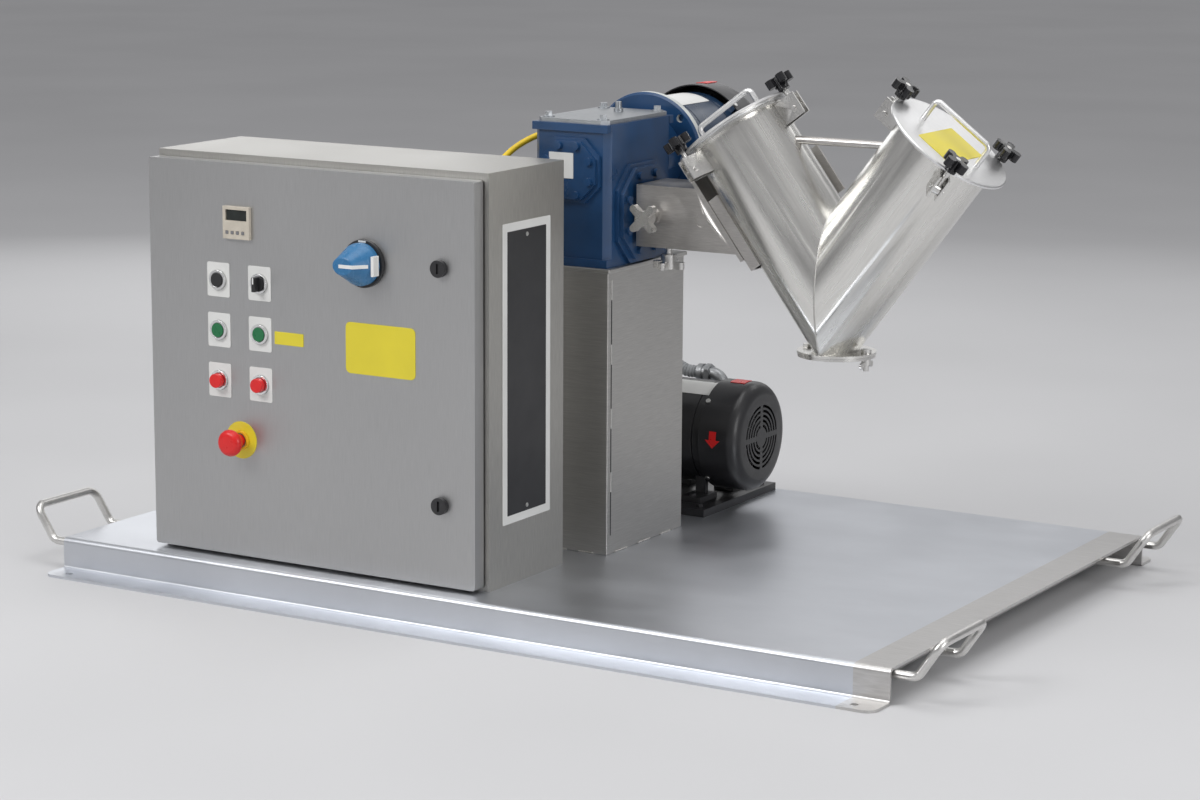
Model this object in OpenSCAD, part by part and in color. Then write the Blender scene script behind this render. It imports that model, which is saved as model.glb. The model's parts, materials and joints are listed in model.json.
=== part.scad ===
// Portable V-shaped tumble blender on a formed skid.
// X runs along the deck, Y to the back, Z up. The origin is the centre of the deck's footprint
// on the floor. Lengths are in millimetres.

/* [Deck] */
// Length of the deck
deck_l = 1400; // [1350:5:1500]
// Width of the deck over its two webs
deck_w = 900; // [880:5:1000]
// Height of the deck's top above the floor
deck_h = 50; // [46:1:70]
// Thickness of the deck sheet
deck_t = 4; // [3:0.5:5]
// Outside radius of the deck's bends
deck_bend = 8; // [6:0.5:12]
// Width of the out-turned floor lips
lip_w = 50; // [40:1:60]
// Corner radius of the floor lips
lip_r = 18; // [8:1:24]
// Diameter of the floor bolt holes
lip_hole_d = 11; // [8:0.5:14]
// Floor bolt hole, in from the end of the lip
lip_hole_in = 36; // [28:1:60]
// Floor bolt hole, out from the web
lip_hole_out = 31; // [24:1:34]
// Width of a stiffener under the deck
stiff_w = 60; // [40:1:90]
// Depth of a stiffener under the deck
stiff_h = 34; // [20:1:38]
// Sheet thickness of the stiffeners
stiff_t = 3; // [2:0.5:4]

/* [Carrying handles] */
// Diameter of the handle rod
rod_d = 12.5; // [10:0.5:14]
// Width between the centres of a handle's legs
grip_w = 136; // [120:1:160]
// Reach of the level part of a leg
grip_level = 36; // [30:1:50]
// Angle at which a leg rises
grip_angle = 56; // [40:1:65]
// Length of the rising part of a leg
grip_rise = 52; // [45:1:70]
// Bend radius at the middle of the rod
grip_bend = 16; // [14:1:20]
// Leg nearest the corner, in from the web
grip_in = 12; // [10:1:40]

/* [Enclosure] */
// Width of the enclosure
encl_w = 584; // [560:1:600]
// Height of the enclosure
encl_h = 602; // [580:1:640]
// Depth of the enclosure body
encl_d = 200; // [190:1:230]
// Sheet thickness of the enclosure
encl_t = 2; // [1.5:0.5:3]
// Left side of the enclosure, in from the deck's left end
encl_in_x = 152; // [140:1:160]
// Front of the enclosure body, back from the front web
encl_in_y = 62; // [60:1:80]
// Width of the frame round the door opening
frame_w = 20; // [16:1:24]
// Depth of the sealing rim in front of the frame
rim_h = 12; // [8:1:14]
// Distance from the back wall to the mounting panel
panel_gap = 10; // [6:1:16]
// Thickness of the mounting panel
panel_t = 3; // [2:0.5:4]
// Margin round the mounting panel
panel_margin = 30; // [20:1:60]

/* [Door] */
// Width of the door
door_w = 576; // [550:1:580]
// How much lower the door is than the enclosure
door_short = 15; // [10:1:32]
// Depth of the door over its folded edge
door_d = 23; // [20:1:28]
// Sheet thickness of the door
door_t = 2; // [1.5:0.5:2.5]
// Gap between the door's folded edge and the frame
door_gap = 2.5; // [2:0.5:4]
// Bottom of the door above the deck
door_lift = 5; // [4:1:9]
// Corner radius of the folded edge
door_r = 5; // [3:0.5:8]
// Height of one hinge knuckle
knuckle_h = 26; // [20:1:40]
// Radius of a hinge knuckle
knuckle_r = 5; // [4:0.5:6]
// Radius of a hinge pin
pin_r = 2.5; // [2:0.1:3]
// Hinge centre, in from the top and from the bottom of the door
hinge_in = 74; // [60:1:120]

/* [Door controls] */
// Left button column, in from the door's left edge
button_in = 127; // [110:1:150]
// Distance between the button columns and rows
button_pitch = 75; // [70:1:85]
// Height of the top button row above the door's bottom
button_top = 413; // [400:1:430]
// Radius of a button cap
button_r = 10.5; // [9:0.5:12]
// Outside radius of a button bezel
bezel_r = 14.5; // [14:0.5:17]
// Height of a button bezel
bezel_h = 5; // [4:0.5:8]
// Travel of a push button
button_travel = 4; // [3:0.5:5]
// How far a start button stands above its bezel
start_proud = 1.5; // [1:0.5:3]
// How far a stop button stands above its bezel
stop_proud = 9; // [7:0.5:12]
// Radius of the emergency stop mushroom
mushroom_r = 20; // [16:0.5:22]
// Height of the emergency stop above the door's bottom
mushroom_z = 176; // [150:1:185]
// Side of the square timer bezel
timer_side = 48; // [42:1:54]
// Timer's centre below the door's top
timer_down = 87; // [67:1:97]
// Diameter of the rotary disconnect handle
discon_d = 62; // [50:1:72]
// Height of the rotary disconnect handle
discon_h = 44; // [36:1:50]
// Disconnect axis, in from the door's right edge
discon_in = 186; // [150:1:220]
// Disconnect axis below the door's top
discon_down = 129; // [107:1:147]
// Diameter of a door latch
latch_d = 25; // [20:1:30]
// Latch axis, in from the door's right edge
latch_in = 57; // [50:1:62]
// Upper latch above the door's bottom
latch_hi = 461; // [440:1:500]
// Lower latch above the door's bottom
latch_lo = 119; // [90:1:140]

/* [Column] */
// Width of the column along the deck
col_w = 160; // [140:1:180]
// Depth of the column
col_d = 228; // [210:1:240]
// Height of the column tube
col_h = 428; // [400:1:460]
// Wall of the column tube
col_t = 4; // [3:0.5:6]
// Thickness of the column's top plate
cap_t = 6; // [5:0.5:10]
// Overhang of the column's top plate
cap_out = 4; // [2:0.5:8]
// Left face of the column, in from the deck's left end
col_in_x = 605; // [590:1:640]
// Front face of the column, back from the front web
col_in_y = 341; // [330:1:360]

/* [Gearbox] */
// Width of the gearbox along the output shaft
gear_w = 130; // [120:1:140]
// Depth of the gearbox along the motor shaft
gear_d = 196; // [190:1:210]
// Height of the gearbox housing
gear_h = 212; // [200:1:230]
// Height of the output shaft above the gearbox foot
shaft_h = 76; // [70:1:84]
// Distance between the output shaft and the motor shaft
gear_centres = 67; // [60:1:72]
// Thickness of the gearbox's top cover
top_cover_t = 6; // [4:0.5:8]
// Width of the output bearing cover
out_cover_w = 150; // [140:1:160]
// Height of the output bearing cover
out_cover_h = 148; // [140:1:150]
// How far the output bearing cover stands out
out_cover_t = 12; // [8:1:16]
// Width of the front bearing cover
front_cover_w = 104; // [90:1:116]
// Height of the front bearing cover
front_cover_h = 96; // [84:1:104]
// How far the front bearing cover stands out
front_cover_t = 10; // [6:1:14]
// Outside radius of the hollow output shaft
out_shaft_r = 22; // [20:0.5:28]
// Bore radius of the hollow output shaft
out_bore_r = 12; // [11:0.5:14]

/* [Blend motor] */
// Radius of the blend motor's body
blend_r = 86; // [76:1:90]
// Length of the blend motor's body
blend_l = 153; // [130:1:180]
// Radius of the flange between gearbox and motor
flange_r = 98; // [92:1:104]
// Thickness of that flange
flange_t = 14; // [10:1:18]

/* [Chopper motor] */
// Radius of the chopper motor's body
chop_r = 82; // [74:1:84]
// Length of the chopper motor's body
chop_l = 133; // [110:1:150]
// Motor axis above the deck
chop_z = 113; // [108:1:125]
// Motor axis, back from the front web
chop_in_y = 763; // [750:1:766]
// Drive end of the motor, beyond the column's left face
chop_in_x = 8; // [5:1:14]
// Thickness of the motor's slide base
slide_t = 12; // [10:1:16]

/* [Motor fans] */
// Length of a fan cover
cowl_l = 56; // [50:1:64]
// How far a fan cover stands out over the motor body
cowl_out = 6; // [4:0.5:10]
// Rounding of a fan cover's end
cowl_round = 20; // [12:1:24]
// Wall of a fan cover
cowl_t = 2; // [1.5:0.5:3]
// Rings of slots in a fan cover's grille
grille_rings = 5; // [4:1:6]
// Width of a grille slot
grille_slot = 4; // [3:0.5:5]
// Radius of a motor shaft
motor_shaft_r = 11; // [9:0.5:13]
// Blades of a motor fan
fan_blades = 8; // [6:1:10]

/* [Belt drive] */
// Pulley radius on the chopper motor
drive_r = 38; // [34:1:44]
// Pulley radius on the chopper shaft
driven_r = 30; // [26:1:34]
// Width of the belt
belt_w = 16; // [12:1:20]
// Thickness of the belt
belt_t = 4; // [3:0.5:5]
// Width of the belt guard
guard_w = 52; // [46:1:56]
// Clear height over the belt inside the guard
guard_clear = 8; // [6:1:10]
// Sheet thickness of the belt guard
guard_t = 2; // [1.5:0.5:3]

/* [Arm] */
// Side of the square arm
arm_side = 92; // [84:1:98]
// Wall of the arm
arm_t = 5; // [4:0.5:6]
// Running gap between gearbox cover and arm
arm_gap = 8; // [5:1:12]
// Length of the square hub inside the arm
hub_l = 84; // [70:1:100]
// Thickness of the arm's end plate
end_plate_t = 6; // [4:0.5:8]
// Radius of an arm knob over its lobes
arm_knob_r = 26; // [22:1:30]

/* [Vessel] */
// Outside radius of a vessel leg
leg_r = 76; // [72:0.5:78]
// Wall of the vessel
leg_t = 2; // [1.5:0.5:3]
// Length of a leg from the meeting point of the axes to the lid
leg_l = 279; // [270:1:300]
// Angle of a leg from the vertical
leg_angle = 37; // [36:0.5:38]
// Meeting point of the axes, below the rotation axis
leg_drop = 94; // [90:1:98]
// Middle of the vessel, beyond the column's right face
vessel_reach = 328; // [320:1:345]
// Outside radius of a rim ring
rim_ring_r = 86; // [82:0.5:90]
// Thickness of a rim ring
rim_ring_t = 4; // [3:0.5:6]
// Discharge flange radius
spout_r = 58; // [56:0.5:64]
// Discharge bore radius
spout_bore_r = 27; // [22:0.5:27.5]
// Discharge flange and cover thickness
spout_t = 4; // [3:0.5:6]
// Height of the discharge flange's top above the tip where the outer walls would meet
spout_lift = 40; // [38:0.5:44]
// Diameter of the tie rod between the legs
tie_d = 12; // [8:0.5:14]
// Place of the tie rod along the legs
tie_s = 214; // [190:1:220]

/* [Lids and clamps] */
// Radius of a lid
lid_r = 97; // [94:0.5:99]
// Thickness of a lid
lid_t = 4; // [3:0.5:6]
// Thickness of a lid seal
seal_t = 2; // [1.5:0.5:3]
// Diameter of a lid's handle rod
lid_rod_d = 8; // [6:0.5:10]
// Length of a lid's handle
lid_grip_l = 112; // [100:1:124]
// Height of a lid's handle
lid_grip_h = 38; // [32:1:46]
// Diameter of the swing bolts
bolt_d = 8; // [6:0.5:8.5]
// Pivot of a swing bolt, below the rim
pivot_drop = 26; // [24:1:32]
// Swing bolt line, outside the lid's edge
bolt_out = 3; // [3:0.5:6]
// Thickness of a clamp lug
lug_t = 3; // [2.5:0.5:4]
// Radius of a star knob over its lobes
star_r = 21; // [18:0.5:23]
// Height of a star knob's lobes
star_h = 13; // [10:0.5:16]

/* [Chopper] */
// Radius of the chopper shaft
chop_shaft_r = 8; // [6:0.5:9]
// Reach of a chopper blade from the shaft's axis
blade_reach = 22; // [18:0.5:24]

/* [Conduit and cable] */
// Outside diameter of the grey conduit
conduit_d = 21; // [18:0.5:23]
// Diameter of the yellow motor cable
cable_d = 9.5; // [7:0.5:11]

/* [Hidden] */
$fn = 64;

// One overrun for every cut, and the gaps between pieces
over = 1;
seat = 0.3;
fit = 0.05;
reach = 2 * leg_l;

// Deck corner and levels
deck_x0 = -deck_l / 2;
deck_y0 = -deck_w / 2;

// Enclosure and door
door_h = encl_h - door_short;
timer_z = door_h - timer_down;
discon_z = door_h - discon_down;
encl_x0 = deck_x0 + encl_in_x;
encl_y0 = deck_y0 + encl_in_y;
encl_y1 = encl_y0 + encl_d;
encl_z1 = deck_h + encl_h;
door_x0 = encl_x0;
door_z0 = deck_h + door_lift;
door_y1 = encl_y0 - door_gap;
door_y0 = door_y1 - door_d;
door_in_y = door_y0 + door_t;
hinge_x = encl_x0 - knuckle_r;
hinge_y = encl_y0 - door_gap / 2;
hinge_zs = [door_z0 + hinge_in, door_z0 + door_h - hinge_in];
panel_y0 = encl_y1 - encl_t - panel_gap - panel_t;

// Places on the door, in from its left edge and up from its bottom
col_a = button_in;
col_b = button_in + button_pitch;
row_a = button_top;
row_b = button_top - button_pitch;
row_c = button_top - 2 * button_pitch;
mid_in = button_in + button_pitch / 2;
discon_x = door_w - discon_in;
latch_x = door_w - latch_in;
stem_r = 0.55 * button_r;
stem_hole_r = stem_r + fit;
block_side = 1.8 * bezel_r;
block_h = 3 * bezel_r;
stem_tail = 12;
cam_t = 3;
cam_l = latch_in + encl_w - door_w - 0.4 * frame_w;
cam_y0 = encl_y0 + encl_t + seat;
latch_shaft_r = 0.18 * latch_d;
discon_base_h = 7;
discon_base_r = 0.56 * discon_d;
discon_shaft_r = 4;
discon_socket_r = 6;
discon_socket_h = 14;
switch_w = 80;
switch_h = 96;
switch_d = 64;
switch_y0 = panel_y0 - switch_d;

// Column and gearbox
col_x0 = deck_x0 + col_in_x;
col_x1 = col_x0 + col_w;
col_y0 = deck_y0 + col_in_y;
col_z1 = deck_h + col_h;
gear_x1 = col_x1 - cap_out;
gear_x0 = gear_x1 - gear_w;
gear_y0 = col_y0 + cap_out / 2;
gear_y1 = gear_y0 + gear_d;
gear_z0 = col_z1 + cap_t;
gear_z1 = gear_z0 + gear_h;
gear_foot_h = 12;
gear_chamfer = 10;
axis_y = gear_y0 + gear_d / 2;
axis_z = gear_z0 + shaft_h;
motor_x = gear_x0 + gear_w / 2;
motor_z = axis_z + gear_centres;
neck_r = 66;
neck_l = 28;
cap_screw_r = 6;
cap_screw_h = 5;

// Blend motor, its drive end behind the gearbox neck
blend_y0 = gear_y1 + neck_l + flange_t;
blend_stub_l = 24;
box_w = 76;
box_d = 34;
box_h = 66;

// Chopper motor on the deck, its drive end towards the left
chop_x0 = col_x0 + chop_in_x;
chop_y = deck_y0 + chop_in_y;
chop_axis_z = deck_h + chop_z;
bell_share = 0.21;
bell_l = bell_share * chop_l;
slide_l = 244;
slide_w = 134;
slide_in_x = 18;
foot_w = 168;
foot_h = 9;

// Motor cowl, shared by both motors
cowl_gap = 3;
grille_r0 = 0.2 * chop_r;
grille_r1 = 0.68 * chop_r;
fan_hub_r = 2 * motor_shaft_r;
fan_clear = 7;
fan_t = 2.5;

// Belt drive, centred between the column and the guard's outer wall
belt_x = col_x0 - guard_w / 2;
run_y = axis_y - chop_y;
run_z = axis_z - chop_axis_z;
run_l = sqrt(run_y * run_y + run_z * run_z);
run_angle = atan2(run_z, run_y);
tangent_angle = acos((drive_r - driven_r) / run_l);
guard_gap_r = belt_t + guard_clear;
pulley_rim = 2;

// Arm, vessel and their frame
arm_x0 = gear_x1 + out_cover_t + arm_gap;
vessel_x = col_x1 + vessel_reach;
meet_z = axis_z - leg_drop;
tip_z = meet_z - leg_r / sin(leg_angle);
spout_z = tip_z + spout_lift;
plate_n0 = leg_r + leg_t + 2;
plate_n1 = plate_n0 + end_plate_t;
saddle_t = plate_n0 - leg_r - seat / 2;
saddle_s0 = 92;
saddle_s1 = 213;
arm_s0 = 112;
plate_s1 = leg_l - rim_ring_t - 3;
saddle_wall = 3;
back_s0 = 130;
back_s1 = 208;
back_in_n = 60;
back_t = 4;
knob_stud_r = 5;
knob_reach = 26;
knob_in = 30;
bush_r = 14;
bush_x0 = vessel_x - (plate_n1 + leg_drop * sin(leg_angle)) / cos(leg_angle);
bush_x1 = vessel_x - (leg_r - bush_r + leg_drop * sin(leg_angle)) / cos(leg_angle);

// Lids and clamps
lid_s0 = leg_l + seal_t;
lid_s1 = lid_s0 + lid_t;
bolt_r = bolt_d / 2;
clamp_n = lid_r + bolt_out;
clamp_s = leg_l - pivot_drop;
clamp_angles = [60, 180, 300];
eye_r = 2 * bolt_r;
eye_w = 2.5 * bolt_r;
lug_in = eye_w / 2 + seal_t / 6;
lug_down = 13;
lug_up = pivot_drop - rim_ring_t - seat;
lug_out = 12;
knob_s0 = lid_s1 + seat;
lobe_r = 0.31 * star_r;
hub_r = 0.43 * star_r;
hub_h = 9;
bolt_top = knob_s0 + hub_h + star_h - clamp_s;

// Discharge, its cover turning on the left bolt
spout_bolt_in = 10;
spout_pin_r = 4;
spout_arm = 2 * (spout_r - spout_bolt_in);
cover_z1 = spout_z - spout_t - seat;
cover_z0 = cover_z1 - spout_t;
cover_r = spout_r - 1;
wing_h = 9;
wing_hub_r = 7;
wing_l = 15;
wing_t = 4;

// Conduit and cable gland sizes, and the hand-laid points of their routes
gland_r = 0.75 * conduit_d;
gland_l = 1.1 * conduit_d;
conduit_bore = 0.72 * conduit_d;
conduit_in_x = 298;
conduit_up_z = 58;
conduit_z = deck_h + conduit_up_z;
rib_pitch = 6;
rib_depth = 1.6;
sweep_sides = 8;
cable_gland_r = 1.1 * cable_d;
cable_gland_l = 2.4 * cable_d;
cable_in_x = 388;
cable_up_z = 530;
cable_z = deck_h + cable_up_z;
elbow_bend = 1.1 * conduit_d;
chop_box_x = chop_x0 + chop_l / 2;
chop_box_y = chop_y + chop_r + box_d / 2 - 2;
chop_box_top = chop_axis_z + box_h / 2;
elbow_z = chop_box_top + 2 * conduit_d;
elbow_end_x = chop_box_x - elbow_bend - gland_l;
blend_box_x = motor_x - blend_r - box_d / 2 + 2;
blend_box_y = blend_y0 + 0.22 * blend_l;
blend_gland_z = motor_z + box_h / 3;
conduit_y1 = encl_y1 + gland_l;
conduit_x1 = encl_x0 + conduit_in_x;
conduit_route = [[elbow_end_x, chop_box_y, elbow_z], [elbow_end_x - conduit_d, chop_box_y, elbow_z],
    [-130, 412, 250], [-190, 400, 236], [-232, 352, 190], [-246, 288, 112], [-250, 226, 64], [-250, 160, 61],
    [-250, 70, 61], [-250, -10, 62], [-250, -70, 76], [-250, -112, 98],
    [conduit_x1, conduit_y1 + conduit_d, conduit_z], [conduit_x1, conduit_y1, conduit_z]];
cable_x0 = encl_x0 + cable_in_x;
cable_route = [[cable_x0, encl_y1 + cable_gland_l, cable_z], [cable_x0, encl_y1 + cable_gland_l + 2 * cable_d, cable_z],
    [-152, -104, 606], [-134, -60, 644], [-114, -20, 664], [-106, 30, 668], [-104, 80, 656],
    [blend_box_x, blend_box_y - cable_gland_l - 2 * cable_d, blend_gland_z],
    [blend_box_x, blend_box_y - cable_gland_l, blend_gland_z]];

// Helpers
function arc(cx, cy, r, a0, a1, n = 8) =
    [for (i = [0:n]) [cx + r * cos(a0 + (a1 - a0) * i / n), cy + r * sin(a0 + (a1 - a0) * i / n)]];

// Rectangle from the origin with round corners
module round_rect(w, h, r) {
    translate([r, 0]) square([w - 2 * r, h]);
    translate([0, r]) square([w, h - 2 * r]);
    for (x = [r, w - r], y = [r, h - r]) translate([x, y]) circle(r);
}

// Rectangle about the origin with cut corners
module cut_rect(w, h, c) {
    polygon([[c - w / 2, -h / 2], [w / 2 - c, -h / 2], [w / 2, c - h / 2], [w / 2, h / 2 - c],
        [w / 2 - c, h / 2], [c - w / 2, h / 2], [-w / 2, h / 2 - c], [-w / 2, c - h / 2]]);
}

module tube(ro, ri, h) {
    difference() {
        cylinder(r = ro, h = h);
        translate([0, 0, -over]) cylinder(r = ri, h = h + 2 * over);
    }
}

// Frames: along the deck, towards the front, towards the back
module along_x() rotate([0, 90, 0]) children();
module to_front() rotate([90, 0, 0]) children();
module to_back() rotate([-90, 0, 0]) children();

// Rod bend towards +X, and the place where it ends
module elbow(a, bend, r)
    translate([bend, 0, 0]) rotate([90, 0, 180]) rotate_extrude(angle = a) translate([bend, 0]) circle(r);
module after_elbow(a, bend)
    translate([bend * (1 - cos(a)), 0, bend * sin(a)]) rotate([0, a, 0]) children();

// Vessel leg frame: X outwards and down, Z along the leg from the meeting point of the axes
module leg_frame(side)
    translate([vessel_x, axis_y, meet_z]) mirror([side < 0 ? 1 : 0, 0, 0]) rotate([0, leg_angle, 0]) children();
module clamp_frame(side, a)
    leg_frame(side) rotate([0, 0, a]) translate([clamp_n, 0, clamp_s]) children();

// Door place, X and Z on the door and Z out of its front
module on_door(x, z) translate([door_x0 + x, door_y0, door_z0 + z]) to_front() children();

// Skid
module rail_half() {
    half_w = deck_w / 2;
    bend_in = deck_bend - deck_t;
    low_y = half_w + bend_in;
    low_z = deck_t + bend_in;
    polygon(concat([[0, deck_h]],
        arc(half_w - deck_bend, deck_h - deck_bend, deck_bend, 90, 0),
        arc(low_y, low_z, bend_in, 180, 270),
        [[half_w + lip_w, deck_t], [half_w + lip_w, 0]],
        arc(low_y, low_z, deck_bend, 270, 180),
        arc(half_w - deck_bend, deck_h - deck_bend, bend_in, 0, 90),
        [[0, deck_h - deck_t]]));
}

module skid_deck() {
    color("silver") difference() {
        translate([deck_x0, 0, 0]) rotate([90, 0, 90]) linear_extrude(deck_l) {
            rail_half();
            mirror([1, 0]) rail_half();
        }
        for (sx = [0, 1], sy = [0, 1]) mirror([sx, 0, 0]) mirror([0, sy, 0])
            translate([deck_x0, deck_y0 - lip_w, -over]) {
                difference() {
                    translate([-over, -over, 0]) cube([lip_r + over, lip_r + over, deck_t + 2 * over]);
                    translate([lip_r, lip_r, -over]) cylinder(r = lip_r, h = deck_t + 4 * over);
                }
                translate([lip_hole_in, lip_w - lip_hole_out, 0])
                    cylinder(d = lip_hole_d, h = deck_t + 2 * over);
            }
    }
    // Stiffening channels, open downwards, under the loads and near the ends
    stiff_len = deck_w - 2 * deck_t - 2 * seat;
    for (x = [deck_x0 + lip_r + stiff_w, encl_x0 + encl_w / 2, col_x1, -deck_x0 - lip_r - stiff_w])
        color("silver") translate([x - stiff_w / 2, -stiff_len / 2, deck_h - deck_t - stiff_h]) difference() {
            cube([stiff_w, stiff_len, stiff_h]);
            translate([stiff_t, -over, -over]) cube([stiff_w - 2 * stiff_t, stiff_len + 2 * over, stiff_h - stiff_t + over]);
        }
}

// Straight rod that runs a little into the bends at its ends
module rod(r, h) translate([0, 0, -over]) cylinder(r = r - fit, h = h + 2 * over);

// One leg of a handle with its two bends, the left one with the crossbar
module handle_leg(side) {
    rod_r = rod_d / 2;
    rod(rod_r, grip_level);
    translate([0, 0, grip_level]) {
        elbow(grip_angle, grip_bend, rod_r);
        after_elbow(grip_angle, grip_bend) {
            rod(rod_r, grip_rise - grip_bend);
            translate([0, 0, grip_rise - grip_bend]) rotate([0, 0, side * 90]) {
                elbow(90, grip_bend, rod_r);
                if (side < 0) after_elbow(90, grip_bend) rod(rod_r, grip_w - 2 * grip_bend);
            }
        }
    }
}

module carry_handles() {
    foot_z = deck_h - deck_t - rod_d / 2 - seat;
    for (sx = [0, 1], sy = [0, 1]) mirror([sx, 0, 0]) mirror([0, sy, 0])
        color("gainsboro") translate([-deck_x0 - rod_d, 0, foot_z]) for (s = [0, 1])
            translate([0, deck_y0 + deck_t + grip_in + s * grip_w, 0]) rotate([0, 90, 0]) rotate([0, 0, 180])
                handle_leg(s == 0 ? -1 : 1);
}

// Column with its top plate
module column() {
    color("silver") translate([col_x0, col_y0, deck_h]) difference() {
        cube([col_w, col_d, col_h]);
        translate([col_t, col_t, -over]) cube([col_w - 2 * col_t, col_d - 2 * col_t, col_h + 2 * over]);
    }
    color("silver") translate([col_x0, col_y0 - cap_out, col_z1])
        cube([col_w + cap_out, col_d + 2 * cap_out, cap_t]);
}

// Enclosure
module enclosure_body() {
    open_w = encl_w - 2 * frame_w;
    open_h = encl_h - 2 * frame_w;
    color("silver") difference() {
        translate([encl_x0, encl_y0, deck_h]) cube([encl_w, encl_d, encl_h]);
        translate([encl_x0 + encl_t, encl_y0 + encl_t, deck_h + encl_t])
            cube([encl_w - 2 * encl_t, encl_d - 2 * encl_t, encl_h - 2 * encl_t]);
        translate([encl_x0 + frame_w, encl_y0 - over, deck_h + frame_w]) cube([open_w, encl_t + 2 * over, open_h]);
        translate([encl_x0 + conduit_in_x, encl_y1 - encl_t - over, deck_h + conduit_up_z]) to_back()
            cylinder(r = conduit_bore / 2, h = encl_t + 2 * over);
        translate([encl_x0 + cable_in_x, encl_y1 - encl_t - over, deck_h + cable_up_z]) to_back()
            cylinder(r = cable_d / 2, h = encl_t + 2 * over);
    }
    // Sealing rim round the opening
    color("silver") translate([encl_x0 + frame_w - encl_t, encl_y0, deck_h + frame_w - encl_t]) to_front()
        linear_extrude(rim_h) difference() {
            square([open_w + 2 * encl_t, open_h + 2 * encl_t]);
            translate([encl_t, encl_t]) square([open_w, open_h]);
        }
    // Hinge knuckles with their pins and leaves
    for (z = hinge_zs) color("silver") {
        translate([hinge_x, hinge_y, z - knuckle_h]) cylinder(r = knuckle_r, h = knuckle_h - seat);
        translate([hinge_x, hinge_y, z - knuckle_h]) cylinder(r = pin_r, h = 2 * knuckle_h);
        translate([encl_x0 - encl_t, encl_y0, z - knuckle_h]) cube([encl_t, 4 * knuckle_r, knuckle_h - seat]);
        translate([hinge_x, hinge_y, z - knuckle_h]) cube([knuckle_r - encl_t, knuckle_r, knuckle_h - seat]);
    }
}

module subpanel() {
    color("white") difference() {
        translate([encl_x0 + panel_margin, panel_y0, deck_h + panel_margin])
            cube([encl_w - 2 * panel_margin, panel_t, encl_h - 2 * panel_margin]);
        for (hole = [[conduit_in_x, conduit_z], [cable_in_x, cable_z]])
            translate([encl_x0 + hole[0], panel_y0 - over, hole[1]]) to_back()
                cylinder(d = conduit_d, h = panel_t + 2 * over);
    }
    for (x = [2 * panel_margin, encl_w - 2 * panel_margin], z = [2 * panel_margin, encl_h - 2 * panel_margin])
        color("silver") translate([encl_x0 + x, panel_y0 + panel_t, deck_h + z]) to_back()
            cylinder(r = panel_gap / 2, h = panel_gap);
}

// Contactors with their overload relays, terminals on a rail, and the motor drive
module control_devices() {
    rail_d = 7;
    rail_h = 35;
    dev_w = 45;
    dev_h = 76;
    dev_d = 74;
    relay_h = 44;
    term_w = 8;
    term_h = 50;
    term_d = 42;
    drive_w = 108;
    drive_h = 176;
    drive_d = 96;
    left = encl_x0 + 2 * panel_margin;
    rail_z = deck_h + encl_h / 2;
    low_z = deck_h + 3.4 * panel_margin;
    for (z = [rail_z, low_z]) color("silver")
        translate([left, panel_y0 - rail_d, z]) cube([encl_w / 2, rail_d, rail_h]);
    for (i = [0:2]) translate([left + i * 1.25 * dev_w, panel_y0 - rail_d, rail_z - (dev_h - rail_h) / 2]) {
        color("dimgray") translate([0, -dev_d, 0]) cube([dev_w, dev_d, dev_h]);
        color("gray") translate([0, -0.8 * dev_d, -relay_h]) cube([dev_w, 0.8 * dev_d, relay_h]);
    }
    for (i = [0:19]) color("lightgray")
        translate([left + term_w / 2 + i * (term_w + seat), panel_y0 - rail_d - term_d, low_z - (term_h - rail_h) / 2])
            cube([term_w, term_d, term_h]);
    color("dimgray") translate([left, panel_y0 - drive_d, deck_h + encl_h - 2 * panel_margin - drive_h]) difference() {
        cube([drive_w, drive_d, drive_h]);
        for (i = [1:5]) translate([-over, -over, i * drive_h / 6]) cube([over + drive_w / 10, drive_d / 2, drive_h / 20]);
    }
}

module disconnect_switch() {
    x = door_x0 + discon_x;
    z = door_z0 + discon_z;
    color("dimgray") difference() {
        translate([x - switch_w / 2, switch_y0, z - switch_h / 2]) cube([switch_w, switch_d, switch_h]);
        translate([x, switch_y0 - over, z]) to_back() cylinder(r = discon_shaft_r + fit, h = switch_d / 2 + over);
        for (s = [-1, 0, 1]) translate([x + s * switch_w / 3 - switch_w / 10, switch_y0 - over, z + switch_h / 3])
            cube([switch_w / 5, switch_d / 4, switch_h / 5]);
    }
}

// Shaft from the switch to the socket in the door handle
module disconnect_shaft() {
    y1 = switch_y0 + switch_d / 2 - seat;
    y0 = door_y0 - discon_base_h - 0.7 * discon_socket_h;
    color("silver") translate([door_x0 + discon_x, y0, door_z0 + discon_z]) to_back()
        cylinder(r = discon_shaft_r, h = y1 - y0);
}

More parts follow.
